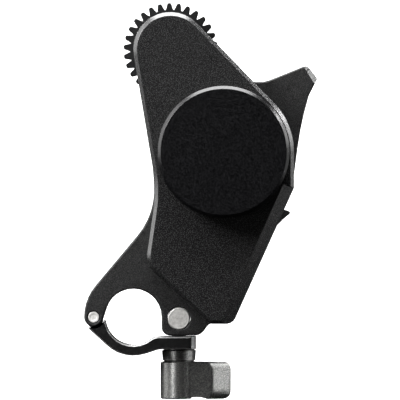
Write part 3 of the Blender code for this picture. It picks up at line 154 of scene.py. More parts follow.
def ends_along(axis):
    """A test for the two end faces of a piece that lies along an axis, 1 for Y or 2 for Z."""
    return lambda face: abs(face.normal[axis]) > ALONG


def soften(piece, width, segments, angle, where=None):
    """Rounds the sharp edges of a piece, all or those in one place, and smooths its shading."""
    only(piece)
    if where:
        shape = bmesh.new()
        shape.from_mesh(piece.data)
        layers = shape.edges.layers.float
        weights = layers.get("bevel_weight_edge") or layers.new("bevel_weight_edge")
        for edge in shape.edges:
            sharp = edge.calc_face_angle(0) > math.radians(angle)
            edge[weights] = sharp and all(where(corner.co) for corner in edge.verts)
        shape.to_mesh(piece.data)
        shape.free()
    bevel = piece.modifiers.new("soft edges", "BEVEL")
    bevel.width = width
    bevel.segments = segments
    bevel.limit_method = "WEIGHT" if where else "ANGLE"
    bevel.angle_limit = math.radians(angle)
    bevel.use_clamp_overlap = False
    bpy.ops.object.modifier_apply(modifier=bevel.name)
    bpy.ops.object.shade_smooth_by_angle(angle=math.radians(angle))
    weigh = piece.modifiers.new("flat faces", "WEIGHTED_NORMAL")
    weigh.keep_sharp = True
    weigh.weight = 90
    bpy.ops.object.modifier_apply(modifier=weigh.name)


def carve(piece, tool, operation="DIFFERENCE"):
    """Applies a Boolean, removes its tool and hands back the piece."""
    only(piece)
    step = piece.modifiers.new("carve", "BOOLEAN")
    step.operation = operation
    step.object = tool
    step.solver = "EXACT"
    bpy.ops.object.modifier_apply(modifier=step.name)
    bpy.data.objects.remove(tool)
    return piece


def dress(piece, material, body, slot, *nodes):
    """Gives a finished piece its material, its body and the CAD nodes that it stands for."""
    ready()
    piece.data.materials.clear()
    piece.data.materials.append(material)
    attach(piece, body)
    if nodes:
        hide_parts(*nodes)
    triangles = sum(len(face.vertices) - 2 for face in piece.data.polygons)
    print(piece.name, "for", ", ".join(nodes) or "nothing", "-", triangles, "triangles")


# %% [markdown]
# ## Effects that several finishes share
#
# Blasted metal is covered in fine dimples, and every surface that is handled has faint
# smudges. These are node groups, built once. Each metal sets the size and depth of its own
# dimples. A group gives out masks and normals, and the shader stays in the material.

# %% Node tools
def socket(group, name, kind, way, default=None):
    """Adds a socket to a node group."""
    made = group.interface.new_socket(name=name, in_out=way, socket_type="NodeSocket" + kind)
    if default is not None:
        made.default_value = default


def node(tree, kind, **settings):
    """Adds a node and sets its properties."""
    made = tree.nodes.new("ShaderNode" + kind)
    for name, value in settings.items():
        setattr(made, name, value)
    return made


def noise(tree, vector, scale, detail=3.0, roughness=0.6):
    """A noise texture on a vector socket."""
    made = node(tree, "TexNoise")
    made.inputs["Detail"].default_value = detail
    made.inputs["Roughness"].default_value = roughness
    tree.links.new(vector, made.inputs["Vector"])
    if isinstance(scale, bpy.types.NodeSocket):
        tree.links.new(scale, made.inputs["Scale"])
    else:
        made.inputs["Scale"].default_value = scale
    return made.outputs["Fac"]


def remap(tree, value, low, high, new_low, new_high):
    """Maps a range of a value to another range, and clamps it there."""
    made = node(tree, "MapRange")
    for place, number in enumerate((low, high, new_low, new_high), 1):
        if isinstance(number, bpy.types.NodeSocket):
            tree.links.new(number, made.inputs[place])
        else:
            made.inputs[place].default_value = number
    tree.links.new(value, made.inputs["Value"])
    return made.outputs["Result"]


# %% Blasted grain
def make_blasted_grain():
    """Fine dimples of bead blasting: a normal, and a mask of the grains that catch the light."""
    group = bpy.data.node_groups.new("blasted_grain", "ShaderNodeTree")
    socket(group, "Scale", "Float", "INPUT", 3000.0)
    socket(group, "Depth", "Float", "INPUT", 0.5)
    socket(group, "Glints", "Float", "OUTPUT")
    socket(group, "Normal", "Vector", "OUTPUT")
    start = group.nodes.new("NodeGroupInput")
    end = group.nodes.new("NodeGroupOutput")
    place = node(group, "TexCoord")
    grain = noise(group, place.outputs["Object"], start.outputs["Scale"], 2.0, 0.7)
    bump = node(group, "Bump")
    bump.inputs["Distance"].default_value = 0.03 * MM
    group.links.new(start.outputs["Depth"], bump.inputs["Strength"])
    group.links.new(grain, bump.inputs["Height"])
    group.links.new(remap(group, grain, 0.46, 0.62, 0.0, 1.0), end.inputs["Glints"])
    group.links.new(bump.outputs["Normal"], end.inputs["Normal"])
    return group


blasted_grain = make_blasted_grain()
print("group", blasted_grain.name)

# %% Handling marks
def make_handling_marks():
    """A mask of broad faint smudges, from 0 for clean to the amount that is set."""
    group = bpy.data.node_groups.new("handling_marks", "ShaderNodeTree")
    socket(group, "Amount", "Float", "INPUT", 0.5)
    socket(group, "Smudge", "Float", "OUTPUT")
    start = group.nodes.new("NodeGroupInput")
    end = group.nodes.new("NodeGroupOutput")
    place = node(group, "TexCoord")
    broad = noise(group, place.outputs["Object"], 60.0, 4.0, 0.55)
    mask = remap(group, broad, 0.4, 0.7, 0.0, start.outputs["Amount"])
    group.links.new(mask, end.inputs["Smudge"])
    return group


handling_marks = make_handling_marks()
print("group", handling_marks.name)

# %% [markdown]
# ## The finishes
#
# Black anodising is a dyed, slightly glassy skin on blasted aluminium: nearly black, with a
# broad soft gloss and a sparkle of single grains. One function makes such a metal, because the
# housing, the cap and the lever differ only in their numbers. The shader's own sockets hold
# what is the same all over.

# %% Anodised metal
def anodised(name, colour, glint, roughness, metallic, scale, depth, gloss=1.0):
    """A blasted and anodised metal with glints in its grain and faint smudges."""
    made = bpy.data.materials.new(name)
    made.use_nodes = True
    tree = made.node_tree
    shader = tree.nodes["Principled BSDF"]
    shader.inputs["Metallic"].default_value = metallic
    shader.inputs["Specular IOR Level"].default_value = gloss
    grain = tree.nodes.new("ShaderNodeGroup")
    grain.node_tree = blasted_grain
    grain.inputs["Scale"].default_value = scale
    grain.inputs["Depth"].default_value = depth
    marks = tree.nodes.new("ShaderNodeGroup")
    marks.node_tree = handling_marks
    mix = node(tree, "Mix", data_type="RGBA")
    mix.inputs["A"].default_value = (*colour, 1)
    mix.inputs["B"].default_value = (*glint, 1)
    tree.links.new(grain.outputs["Glints"], mix.inputs["Factor"])
    tree.links.new(mix.outputs["Result"], shader.inputs["Base Color"])
    sheen = remap(tree, marks.outputs["Smudge"], 0.0, 1.0, roughness, roughness * 0.8)
    tree.links.new(sheen, shader.inputs["Roughness"])
    tree.links.new(grain.outputs["Normal"], shader.inputs["Normal"])
    return made


housing_black = anodised("housing_black", (0.0014, 0.0014, 0.0016), (0.040, 0.040, 0.040),
                         0.27, 0.0, 4600.0, 0.9)
body_black = anodised("body_black", (0.0030, 0.0030, 0.0032), (0.055, 0.055, 0.055),
                      0.33, 0.0, 4600.0, 0.9, gloss=0.55)
# Painted light and shade: a duller, lighter copy of the body's finish for the rear body's rims
# and sides, which gives them an even grey in place of their lit and shaded reflections.
rim_painted_tone = anodised("rim_painted_tone", (0.0100, 0.0100, 0.0102), (0.055, 0.055, 0.055),
                     0.45, 0.0, 4600.0, 0.6, gloss=0.18)
# Painted highlight: a light grey finish on the jaw's front rim, so that its edge shows as a
# bright line where it lies in shade.
jaw_rim_painted_highlight = anodised("jaw_rim_painted_highlight", (0.24, 0.24, 0.24), (0.40, 0.40, 0.40),
                        0.42, 0.50, 3600.0, 0.5)
jaw_black = anodised("jaw_black", (0.0030, 0.0030, 0.0031), (0.016, 0.016, 0.016),
                     0.26, 0.0, 4200.0, 0.35)
cap_black = anodised("cap_black", (0.0004, 0.0004, 0.0006), (0.0120, 0.0120, 0.0130),
                     0.26, 0.0, 3600.0, 0.8, gloss=0.5)
lever_grey = anodised("lever_grey", (0.20, 0.20, 0.20), (0.46, 0.46, 0.44),
                      0.34, 0.92, 3600.0, 0.45)
blackened_steel = anodised("blackened_steel", (0.045, 0.045, 0.047), (0.10, 0.10, 0.10),
                           0.36, 0.85, 6000.0, 0.20)
print("metals:", housing_black.name, cap_black.name, lever_grey.name, blackened_steel.name)

# %% [markdown]
# Turned steel shows the fine grooves of the lathe: rings round its axis. The Mapping node puts
# the middle of the rings on the piece's axis.

# %% Turned steel
def turned_steel(name, centre, colour=(0.80, 0.79, 0.77), ring=0.22 * MM, roughness=0.62):
    """Bright steel with lathe rings round an axis along Y."""
    made = bpy.data.materials.new(name)
    made.use_nodes = True
    tree = made.node_tree
    shader = tree.nodes["Principled BSDF"]
    shader.inputs["Metallic"].default_value = 1.0
    place = node(tree, "TexCoord")
    centring = node(tree, "Mapping")
    centring.inputs["Location"].default_value = (-centre[0], 0, -centre[1])
    tree.links.new(place.outputs["Object"], centring.inputs["Vector"])
    rings = node(tree, "TexWave", wave_type="RINGS", rings_direction="Y")
    rings.inputs["Scale"].default_value = math.pi / 10 / ring
    rings.inputs["Distortion"].default_value = 1.5
    rings.inputs["Detail"].default_value = 2.0
    tree.links.new(centring.outputs["Vector"], rings.inputs["Vector"])
    bump = node(tree, "Bump")
    bump.inputs["Distance"].default_value = 0.01 * MM
    bump.inputs["Strength"].default_value = 0.5
    tree.links.new(rings.outputs["Fac"], bump.inputs["Height"])
    tree.links.new(bump.outputs["Normal"], shader.inputs["Normal"])
    stain = noise(tree, place.outputs["Object"], 900.0)
    tint = node(tree, "Mix", data_type="RGBA")
    tint.inputs["A"].default_value = (*colour, 1)
    tint.inputs["B"].default_value = (*[part * 0.72 for part in colour], 1)
    tree.links.new(remap(tree, stain, 0.35, 0.7, 0.0, 1.0), tint.inputs["Factor"])
    tree.links.new(tint.outputs["Result"], shader.inputs["Base Color"])
    tree.links.new(remap(tree, stain, 0.3, 0.7, roughness, roughness * 1.3),
                   shader.inputs["Roughness"])
    return made


def centre_of(node_name):
    """The X-Z middle of a CAD node's box."""
    low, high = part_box(node_name)
    return (low[0] + high[0]) / 2, (low[2] + high[2]) / 2


nut_steel = turned_steel("nut_steel", centre_of("barrel_nut"))
pin_steel = turned_steel("pin_steel", centre_of("jaw_pin"), ring=0.35 * MM)
bearing_steel = turned_steel("bearing_steel", centre_of("bearing_front"), roughness=0.2)
motor_steel = turned_steel("motor_steel", centre_of("motor_rotor"), (0.22, 0.22, 0.23))
mount_alloy = turned_steel("mount_alloy", centre_of("motor_rotor"), (0.55, 0.56, 0.57),
                           0.3 * MM)
print("turned:", nut_steel.name, pin_steel.name, bearing_steel.name, motor_steel.name,
      mount_alloy.name)

# %% [markdown]
# The remaining finishes are plain in colour but not in surface: moulded polymer and rubber
# have a soft orange-peel texture, brass and copper are tarnished in patches, and the motor's
# core is a stack of thin sheets that shows as fine bands.

# %% Moulded and plain finishes
def speckled(name, colour, second, roughness, metallic=0.0, scale=2500.0, depth=0.3):
    """A finish of two close tones in a fine grain, with the same grain as its bump."""
    made = bpy.data.materials.new(name)
    made.use_nodes = True
    tree = made.node_tree
    shader = tree.nodes["Principled BSDF"]
    shader.inputs["Metallic"].default_value = metallic
    place = node(tree, "TexCoord")
    grain = noise(tree, place.outputs["Object"], scale)
    broad = noise(tree, place.outputs["Object"], scale / 25)
    mix = node(tree, "Mix", data_type="RGBA")
    mix.inputs["A"].default_value = (*colour, 1)
    mix.inputs["B"].default_value = (*second, 1)
    tree.links.new(remap(tree, broad, 0.35, 0.65, 0.0, 1.0), mix.inputs["Factor"])
    tree.links.new(mix.outputs["Result"], shader.inputs["Base Color"])
    tree.links.new(remap(tree, grain, 0.3, 0.7, roughness * 0.9, roughness * 1.1),
                   shader.inputs["Roughness"])
    bump = node(tree, "Bump")
    bump.inputs["Distance"].default_value = 0.02 * MM
    bump.inputs["Strength"].default_value = depth
    tree.links.new(grain, bump.inputs["Height"])
    tree.links.new(bump.outputs["Normal"], shader.inputs["Normal"])
    return made


gear_polymer = speckled("gear_polymer", (0.0065, 0.0065, 0.0068), (0.0100, 0.0100, 0.0105),
                        0.33)
port_rubber = speckled("port_rubber", (0.075, 0.075, 0.077), (0.100, 0.100, 0.102), 0.60,
                       scale=4000.0, depth=0.5)
gear_brass = speckled("yellow_brass", (0.60, 0.42, 0.16), (0.48, 0.31, 0.11), 0.32, 1.0)
magnet_nickel = speckled("nickel_plate", (0.52, 0.51, 0.48), (0.46, 0.45, 0.43), 0.25, 1.0)
milled_alloy = speckled("machined_alloy", (0.56, 0.57, 0.58), (0.48, 0.49, 0.50), 0.36, 1.0)
board_green = speckled("board_lacquer", (0.012, 0.090, 0.030), (0.020, 0.120, 0.045), 0.38)


def banded(name, colour, dark, roughness, metallic, period, direction):
    """Fine parallel bands: stacked sheets or wound wire."""
    made = speckled(name, colour, dark, roughness, metallic)
    tree = made.node_tree
    place = node(tree, "TexCoord")
    bands = node(tree, "TexWave", bands_direction=direction)
    bands.inputs["Scale"].default_value = math.pi / 10 / period
    tree.links.new(place.outputs["Object"], bands.inputs["Vector"])
    bump = node(tree, "Bump")
    bump.inputs["Distance"].default_value = period / 2
    tree.links.new(bands.outputs["Fac"], bump.inputs["Height"])
    tree.links.new(bump.outputs["Normal"], tree.nodes["Principled BSDF"].inputs["Normal"])
    return made


core_sheets = banded("core_sheets", (0.30, 0.31, 0.33), (0.22, 0.22, 0.24), 0.42, 1.0,
                     0.35 * MM, "Y")
winding_copper = banded("enamelled_copper", (0.62, 0.25, 0.10), (0.50, 0.18, 0.07), 0.3, 1.0,
                        0.25 * MM, "DIAGONAL")
print("finishes:", len(bpy.data.materials))

# %% [markdown]
# ## Finishes on the solids that stay as they are
#
# The pieces inside the closed housing are already the right shape, so only their finish is
# changed: each CAD node gets the material of its slot in the record.

# %% Paint the CAD nodes
finish_of_slot = {
    "black_anodised": housing_black, "cap_black": cap_black, "gear_polymer": gear_polymer,
    "bright_steel": bearing_steel, "lever_satin": lever_grey, "dark_steel": blackened_steel,
    "rubber_grey": port_rubber, "gear_brass": gear_brass, "winding_copper": winding_copper,
    "core_steel": core_sheets, "magnet_nickel": magnet_nickel, "milled_alloy": milled_alloy,
    "board_green": board_green,
}
finish_of_node = {"motor_mount": mount_alloy, "motor_rotor": motor_steel,
                  "barrel_nut": nut_steel, "jaw_pin": pin_steel}
for entry in frame["record"]["subparts"]:
    solid = frame["nodes"][entry["node"]]
    finish = finish_of_node.get(entry["node"], finish_of_slot[entry["material_slot"]])
    for place in solid.material_slots:
        place.material = finish

# %% [markdown]
# ## The milled and turned bodies
#
# The housings, jaw and lever have the right shape but knife-sharp edges, and nothing real has
# those: light catches a thin rounded line along every edge. Each is copied, its loose triangles
# are merged into whole faces, and a bevel rounds its sharp edges.

# %% Copies with merged faces
EDGE_ANGLE = 25                   # degrees: what bends more is an edge
ONE_PLANE = math.radians(0.5)     # faces that differ by less are merged


def merge_faces(piece, reach, slivers=False):
    """Welds points within a reach, drops slivers if asked, and merges the faces of a plane."""
    edit(piece)
    bpy.ops.mesh.select_all(action="SELECT")
    bpy.ops.mesh.remove_doubles(threshold=reach)
    if slivers:
        bpy.ops.mesh.dissolve_degenerate(threshold=reach)
    bpy.ops.mesh.dissolve_limited(angle_limit=ONE_PLANE)
    ready()


def merged_copy(name, source_name):
    """A copy of a CAD node whose loose triangles are merged into whole faces."""
    ready()
    source = frame["nodes"][source_name]
    source.select_set(True)
    bpy.context.view_layer.objects.active = source
    bpy.ops.object.duplicate()
    piece = bpy.context.object
    piece.name = name
    piece.data.name = name
    bpy.ops.object.parent_clear(type="CLEAR_KEEP_TRANSFORM")
    bpy.ops.mesh.customdata_custom_splitnormals_clear()
    merge_faces(piece, 0.0005 * MM)
    return piece


# %% [markdown]
# ## The horn's end
#
# The horn at the rear body's upper right gets two more steps, as with a file: a bar fills the
# small step under the corner of its end, and a block takes a broad chamfer off its front rim.

# %% Bar and chamfer
HORN_END = Vector((0.845, -1.0, 0.535)).normalized()       # where the chamfer looks
CHAMFER_PLACE = (47.4 * MM, 65.7 * MM)                     # its X and Z on the front face
END_BLOCK = (4 * MM, 12 * MM, 12 * MM)
FLANK_CORNER = Vector((49.62 * MM, 0, 64.10 * MM))
FLANK_FOOT = Vector((47.42 * MM, 0, 59.70 * MM))
FLANK_THICKNESS = 1.0 * MM
FLANK_RIM = 0.35 * MM


def end_cut():
    """A block that takes a broad chamfer off the front rim of the horn's end."""
    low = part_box("main_body")[0]
    ready()
    bpy.ops.mesh.primitive_cube_add(size=1)
    block = bpy.context.object
    block.dimensions = END_BLOCK
    block.rotation_euler = HORN_END.to_track_quat("X", "Z").to_euler()
    spot = Vector((CHAMFER_PLACE[0], low.y, CHAMFER_PLACE[1]))
    block.location = spot + HORN_END * (END_BLOCK[0] / 2)
    return fresh("end_cut")


def horn_flank():
    """A bar that fills the small step under the corner of the horn's end."""
    low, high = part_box("main_body")
    along = (FLANK_CORNER - FLANK_FOOT).normalized()
    across = Vector((along.z, 0, -along.x))
    middle = (FLANK_CORNER + FLANK_FOOT) / 2 - across * FLANK_THICKNESS / 2
    ready()
    bpy.ops.mesh.primitive_cube_add(size=1)
    bar = bpy.context.object
    bar.dimensions = (FLANK_THICKNESS, high.y - low.y, (FLANK_CORNER - FLANK_FOOT).length)
    bar.rotation_euler = (0, math.atan2(along.x, along.z), 0)
    bar.location = middle + Vector((0, (low.y + high.y) / 2, 0))
    bar = fresh("horn_flank")
    soften(bar, FLANK_RIM, 1, EDGE_ANGLE,
           lambda place: (place - middle).dot(across) > FLANK_THICKNESS / 4)
    return bar


print("the horn's chamfer looks along", [round(share, 2) for share in HORN_END])

# %% [markdown]
# ## Rounded edges and light painted on faces by their direction
#
# The bar and the chamfer leave slivers in the rear body, which are welded away before its edges
# are rounded. Some faces then get a second material by the way they face, and it paints light
# and shade on them: a light grey painted highlight on the jaw's front rim, a duller and lighter
# tone on the housing's side walls, and the same on the rims and sides of the rear body, in
# place of their lit and shaded reflections.

# %% Bodies
def leaning(low, high):
    """A test for normals whose share along Y lies between two numbers, -1 for the front."""
    return lambda normal: low < normal.y < high


# Name: CAD node, body, slot, finish and the width of the rounded edges
bodies_with_edges = {
    "housing_shell": ("front_housing", "housing", "black_anodised", housing_black, 0.05 * MM),
    "rear_body": ("main_body", "housing", "black_anodised", body_black, 0.12 * MM),
    "jaw_forging": ("clamp_jaw", "jaw", "black_anodised", jaw_black, 0.08 * MM),
    "rear_lid": ("back_cover", "housing", "black_anodised", housing_black, 0.06 * MM),
    "collar_ring": ("clamp_collar", "collar", "dark_steel", lever_grey, 0.06 * MM),
    "lever_screw": ("clamp_screw", "lever", "dark_steel", blackened_steel, 0.06 * MM),
    "cable_socket": ("usb_socket", "housing", "bright_steel", bearing_steel, 0.05 * MM),
    "port_flap": ("port_cover", "port_flap", "rubber_grey", port_rubber, 0.12 * MM),
}
HINGE_SIDE = -6 * MM              # left of it the jaw's edges stay sharp
BAR_FOOT = (45 * MM, 66 * MM)     # right of and below it the rear body's edges stay sharp
soft_places = {
    "jaw_forging": lambda corner: corner.x > HINGE_SIDE,
    "rear_body": lambda corner: corner.x < BAR_FOOT[0] or corner.z > BAR_FOOT[1],
}
rims_and_sides = leaning(-0.97, 0.4)
# Each second material paints light and shade on faces chosen by their direction: a painted
# highlight on the jaw's rim, a duller and lighter tone on the housing's side walls and on the
# rear body's rims and sides.
faces_painted_by_direction = {
    "jaw_forging": (jaw_rim_painted_highlight, leaning(-0.92, -0.4)),
    # The housing's side walls take the rear body's duller, lighter finish by the way they face:
    # painted light and shade.
    "housing_shell": (body_black, leaning(-0.4, 0.4)),
    "rear_body": (rim_painted_tone, lambda normal: (rims_and_sides(normal)
                                             and normal.dot(HORN_END) < 0.97)),
}
for name, (source_name, body, slot, finish, edge) in bodies_with_edges.items():
    piece = merged_copy(name, source_name)
    if name == "rear_body":
        carve(piece, horn_flank(), "UNION")
        carve(piece, end_cut())
        merge_faces(piece, 0.01 * MM, slivers=True)
    soften(piece, edge, 2, EDGE_ANGLE, soft_places.get(name))
    dress(piece, finish, body, slot, source_name)
    if name in faces_painted_by_direction:
        second, is_second = faces_painted_by_direction[name]
        piece.data.materials.append(second)
        for face in piece.data.polygons:
            if is_second(face.normal):
                face.material_index = 1

# %% [markdown]
# ## The lever
#
# The lever's tip is swept back for the thumb. Seen from the front its upper and lower corners
# are rounded over, and so is the line where the flat face of the arm ends. A form with these
# roundings is taken out of a blank, and what is left of the blank trims the lever.

# %% Lever
lever_handle = merged_copy("lever_handle", "clamp_lever")
lever_low, lever_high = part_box("clamp_lever")
screw_low, screw_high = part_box("clamp_screw")
KNEE_REACH = 9.55 * MM            # from the screw's axis to the line where the flat face ends
KNEE_DEPTH = -3.80 * MM
TIP_SWEEP = math.radians(32.06)
TIP_CORNER = 3.0 * MM
TIP_FLATNESS = 0.40               # the corners are squashed to this share of their depth
TIP_BLANK = (14 * MM, 8 * MM, 14 * MM)
BLANK_SHIFT = 2 * MM
FORM_LENGTH, FORM_DEPTH = 40 * MM, 20 * MM
TIP_PLAY = 0.01 * MM              # keeps the form off the lever's own faces
FIRST_SOFT = 18 * MM              # only edges to the right of it are rounded
knee = Vector(((screw_low[0] + screw_high[0]) / 2 + KNEE_REACH, KNEE_DEPTH,
               (lever_low[2] + lever_high[2]) / 2))
tip_along = Vector((math.cos(TIP_SWEEP), math.sin(TIP_SWEEP), 0))
tip_outwards = Vector((math.sin(TIP_SWEEP), -math.cos(TIP_SWEEP), 0))

ready()
bpy.ops.mesh.primitive_cube_add(size=1, location=knee + tip_along * BLANK_SHIFT)
blank = bpy.context.object
blank.dimensions = TIP_BLANK
blank.rotation_euler = (0, 0, TIP_SWEEP)
fresh("tip_blank")
ready()
bpy.ops.mesh.primitive_cube_add(size=1)
tip_form = bpy.context.object
tip_height = lever_high[2] - lever_low[2] + 2 * TIP_PLAY
tip_form.dimensions = (FORM_LENGTH, FORM_DEPTH / TIP_FLATNESS, tip_height)
fresh("tip_form")
pick("EDGE", lambda edge: all(corner.co.y < 0 for corner in edge.verts)
     and abs(edge.verts[0].co.x - edge.verts[1].co.x) > MM)
bpy.ops.mesh.bevel(offset=TIP_CORNER, offset_type="OFFSET", segments=10, affect="EDGES")
bpy.ops.object.mode_set(mode="OBJECT")
tip_form.scale = (1, TIP_FLATNESS, 1)
tip_form.rotation_euler = (0, 0, TIP_SWEEP)
tip_form.location = knee - tip_outwards * (FORM_DEPTH / 2 - TIP_PLAY)
fresh("tip_form")
carve(blank, tip_form)
carve(lever_handle, blank)
soften(lever_handle, 0.12 * MM, 2, 20, lambda corner: corner.x > FIRST_SOFT)
dress(lever_handle, lever_grey, "lever", "lever_satin", "clamp_lever")

# %% [markdown]
# ## The motor cap
#
# The cap is turned from solid bar: a flat face, a crisp chamfer that the light makes into a
# bright ring, and a plain side. A cylinder with many sides is bevelled at the front, and its
# back is inset by the wall and pushed in to make room for the motor.

# %% Motor cap
low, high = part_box("motor_cap")
cap_radius = (high[0] - low[0]) / 2
cap_middle = (low + high) / 2
CAP_CHAMFER = 0.8 * MM
CAP_WALL = 1.4 * MM
CAP_HOLLOW = 6.6 * MM             # how deep the motor's room is

ready()
bpy.ops.mesh.primitive_cylinder_add(
    vertices=160, radius=cap_radius, depth=high[1] - low[1], location=cap_middle,
    rotation=(math.pi / 2, 0, 0), end_fill_type="NGON")
cap_lid = fresh("cap_lid")
pick("EDGE", lambda edge: all(vert.co.y < low[1] + MM for vert in edge.verts))
bpy.ops.mesh.bevel(offset=CAP_CHAMFER, offset_type="OFFSET", segments=1)
pick("FACE", facing((0, 1, 0)))
bpy.ops.mesh.inset(thickness=CAP_WALL)
bpy.ops.mesh.extrude_region_move(TRANSFORM_OT_translate={"value": (0, -CAP_HOLLOW, 0)})
ready()
soften(cap_lid, 0.06 * MM, 2, 25)
dress(cap_lid, cap_black, "housing", "cap_black", "motor_cap")

# %% [markdown]
# ## The drive gear
#
# This gear meets the toothed ring on a lens, so its teeth are the unit's working edge. They are
# slim, with rounded tips and round roots. A circle gets one point for each place on a tooth, and
# a table moves each point out or in: the first number is a share of the tooth pitch and the
# second a radius.

# %% Gear teeth
TEETH = 30
FIRST_TOOTH = math.radians(91.8)
TOOTH_SIDE = (                    # share of the pitch and radius in mm, from root to tip
    (0.500, 10.93), (0.465, 10.98), (0.430, 11.12), (0.395, 11.30), (0.355, 11.50),
    (0.322, 11.73), (0.292, 11.95), (0.264, 12.17), (0.236, 12.38), (0.204, 12.56),
    (0.166, 12.69), (0.120, 12.77), (0.060, 12.80),
)
low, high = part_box("drive_gear")
gear_centre = Vector((0.010136, 0, 0.072236))              # on the output shaft's axis
gear_front, gear_back = low[1], high[1]

tooth = [(-share, radius) for share, radius in TOOTH_SIDE]
tooth += [(share, radius) for share, radius in TOOTH_SIDE[:0:-1]]
ready()
bpy.ops.mesh.primitive_circle_add(
    vertices=TEETH * len(tooth), radius=TOOTH_SIDE[-1][1] * MM, fill_type="NGON",
    location=(gear_centre.x, gear_front, gear_centre.z), rotation=(math.pi / 2, 0, 0))
drive_teeth = fresh("drive_teeth")
ring = bmesh.from_edit_mesh(drive_teeth.data)
ring.verts.ensure_lookup_table()
for index, vert in enumerate(ring.verts):
    number, step = divmod(index, len(tooth))
    share, radius = tooth[step]
    turn = FIRST_TOOTH + (number + share) * 2 * math.pi / TEETH
    vert.co = gear_centre + Vector((math.cos(turn), 0, math.sin(turn))) * radius * MM
    vert.co.y = gear_front
bmesh.update_edit_mesh(drive_teeth.data)
bpy.ops.mesh.select_all(action="SELECT")
bpy.ops.mesh.extrude_region_move(
    TRANSFORM_OT_translate={"value": (0, gear_back - gear_front, 0)})
bpy.ops.mesh.select_all(action="SELECT")
bpy.ops.mesh.normals_make_consistent(inside=False)
ready()
print("gear outline points:", TEETH * len(tooth))

# %% [markdown]
# The gear is moulded: a thin web joins rim and hub, with round holes that save weight, and the
# bore takes the shaft. These are cut with cylinders, as by drill and lathe.

# %% Web, holes and bore
def drum(name, centre, radius, front, back, vertices=96):
    """A cylinder along Y between two depths, as a cutting tool."""
    ready()
    bpy.ops.mesh.primitive_cylinder_add(
        vertices=vertices, radius=radius, depth=back - front,
        location=(centre.x, (front + back) / 2, centre.z), rotation=(math.pi / 2, 0, 0))
    made = fresh(name)
    ready()
    return made


HUB_RADIUS = 5.0 * MM
RIM_INSIDE = 8.8 * MM
HOLLOW_DEPTH = 3.0 * MM
WEB_FRONT, WEB_BACK = gear_front + HOLLOW_DEPTH, gear_back - HOLLOW_DEPTH
WEB_HOLES = 6
HOLE_CIRCLE = 6.9                 # radius in mm of the circle that the holes lie on
HOLE_RADIUS = 1.0 * MM
BORE_RADIUS = 2.58 * MM
for name, front, back in (("front_hollow", gear_front - MM, WEB_FRONT),
                          ("back_hollow", WEB_BACK, gear_back + MM)):
    hollow = drum(name, gear_centre, RIM_INSIDE, front, back)
    carve(hollow, drum(name + "_core", gear_centre, HUB_RADIUS, front - MM, back + MM))
    carve(drive_teeth, hollow)
for number in range(WEB_HOLES):
    turn = number * 2 * math.pi / WEB_HOLES
    spot = gear_centre + Vector((math.cos(turn), 0, math.sin(turn))) * HOLE_CIRCLE * MM
    carve(drive_teeth, drum("web_hole", spot, HOLE_RADIUS, gear_front, gear_back, 32))
shaft_bore = drum("shaft_bore", gear_centre, BORE_RADIUS, gear_front - MM, gear_back + MM, 64)
carve(drive_teeth, shaft_bore)
soften(drive_teeth, 0.12 * MM, 2, 50)
dress(drive_teeth, gear_polymer, "drive", "gear_polymer", "drive_gear")
print("gear is", round((gear_back - gear_front) / MM, 1), "mm wide")

# %% [markdown]
# ## The cross nut and the hinge pin
#
# The clamp screw pulls on a round nut that lies across the body, and its turned end face shows
# as the bright disc beside the rod. The hinge pin is smaller. Both have a shallow step turned
# into their ends.

# %% Nut and pin
THREAD_ROOM = 2.08 * MM           # radius of the hole that the clamp screw passes
nut_x, nut_z = centre_of("barrel_nut")
nut_low, nut_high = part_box("barrel_nut")
nut_radius = (nut_high[0] - nut_low[0]) / 2
nut_centre = Vector((nut_x, 0, nut_z))
cross_nut = drum("cross_nut", nut_centre, nut_radius, nut_low[1], nut_high[1])
edit(cross_nut)
pick("FACE", ends_along(1))
bpy.ops.mesh.bevel(offset=0.30 * MM, segments=1, affect="EDGES")
pick("FACE", ends_along(1))
bpy.ops.mesh.inset(thickness=0.25 * MM, use_individual=True)
bpy.ops.mesh.inset(thickness=0.12 * MM, depth=-0.06 * MM, use_individual=True)
ready()
bpy.ops.mesh.primitive_cylinder_add(
    vertices=64, radius=THREAD_ROOM, depth=4 * nut_radius, location=nut_centre)
thread_room = fresh("thread_room")
ready()
carve(cross_nut, thread_room)
soften(cross_nut, 0.05 * MM, 2, 30)
dress(cross_nut, nut_steel, "housing", "bright_steel", "barrel_nut")

pin_x, pin_z = centre_of("jaw_pin")
pin_low, pin_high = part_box("jaw_pin")
pin_centre = Vector((pin_x, 0, pin_z))
pin_radius = (pin_high[0] - pin_low[0]) / 2
hinge_pin = drum("hinge_pin", pin_centre, pin_radius, pin_low[1], pin_high[1], 64)
edit(hinge_pin)
pick("FACE", ends_along(1))
bpy.ops.mesh.inset(thickness=0.5 * MM, use_individual=True)
bpy.ops.mesh.inset(thickness=0.15 * MM, depth=-0.08 * MM, use_individual=True)
ready()
soften(hinge_pin, 0.07 * MM, 2, 20)
dress(hinge_pin, pin_steel, "housing", "bright_steel", "jaw_pin")

# %% [markdown]
# ## Friction washers
#
# The lever would gall against the collar and the collar against the jaw, so a thin black washer
# lies between each pair and fills the slit that would let light through.

# %% Washers
def washer(name, floor, top, radius, body):
    """A flat ring round the clamp screw, with rounded rims."""
    ready()
    bpy.ops.mesh.primitive_cylinder_add(
        vertices=96, radius=radius, depth=top - floor,
        location=(nut_x, 0, (floor + top) / 2))
    ring = fresh(name)
    pick("FACE", ends_along(2))
    bpy.ops.mesh.inset(thickness=radius - WASHER_BORE, use_individual=True)
    bpy.ops.mesh.bridge_edge_loops()
    ready()
    soften(ring, 0.05 * MM, 2, 30)
    dress(ring, jaw_black, body, "dark_steel")


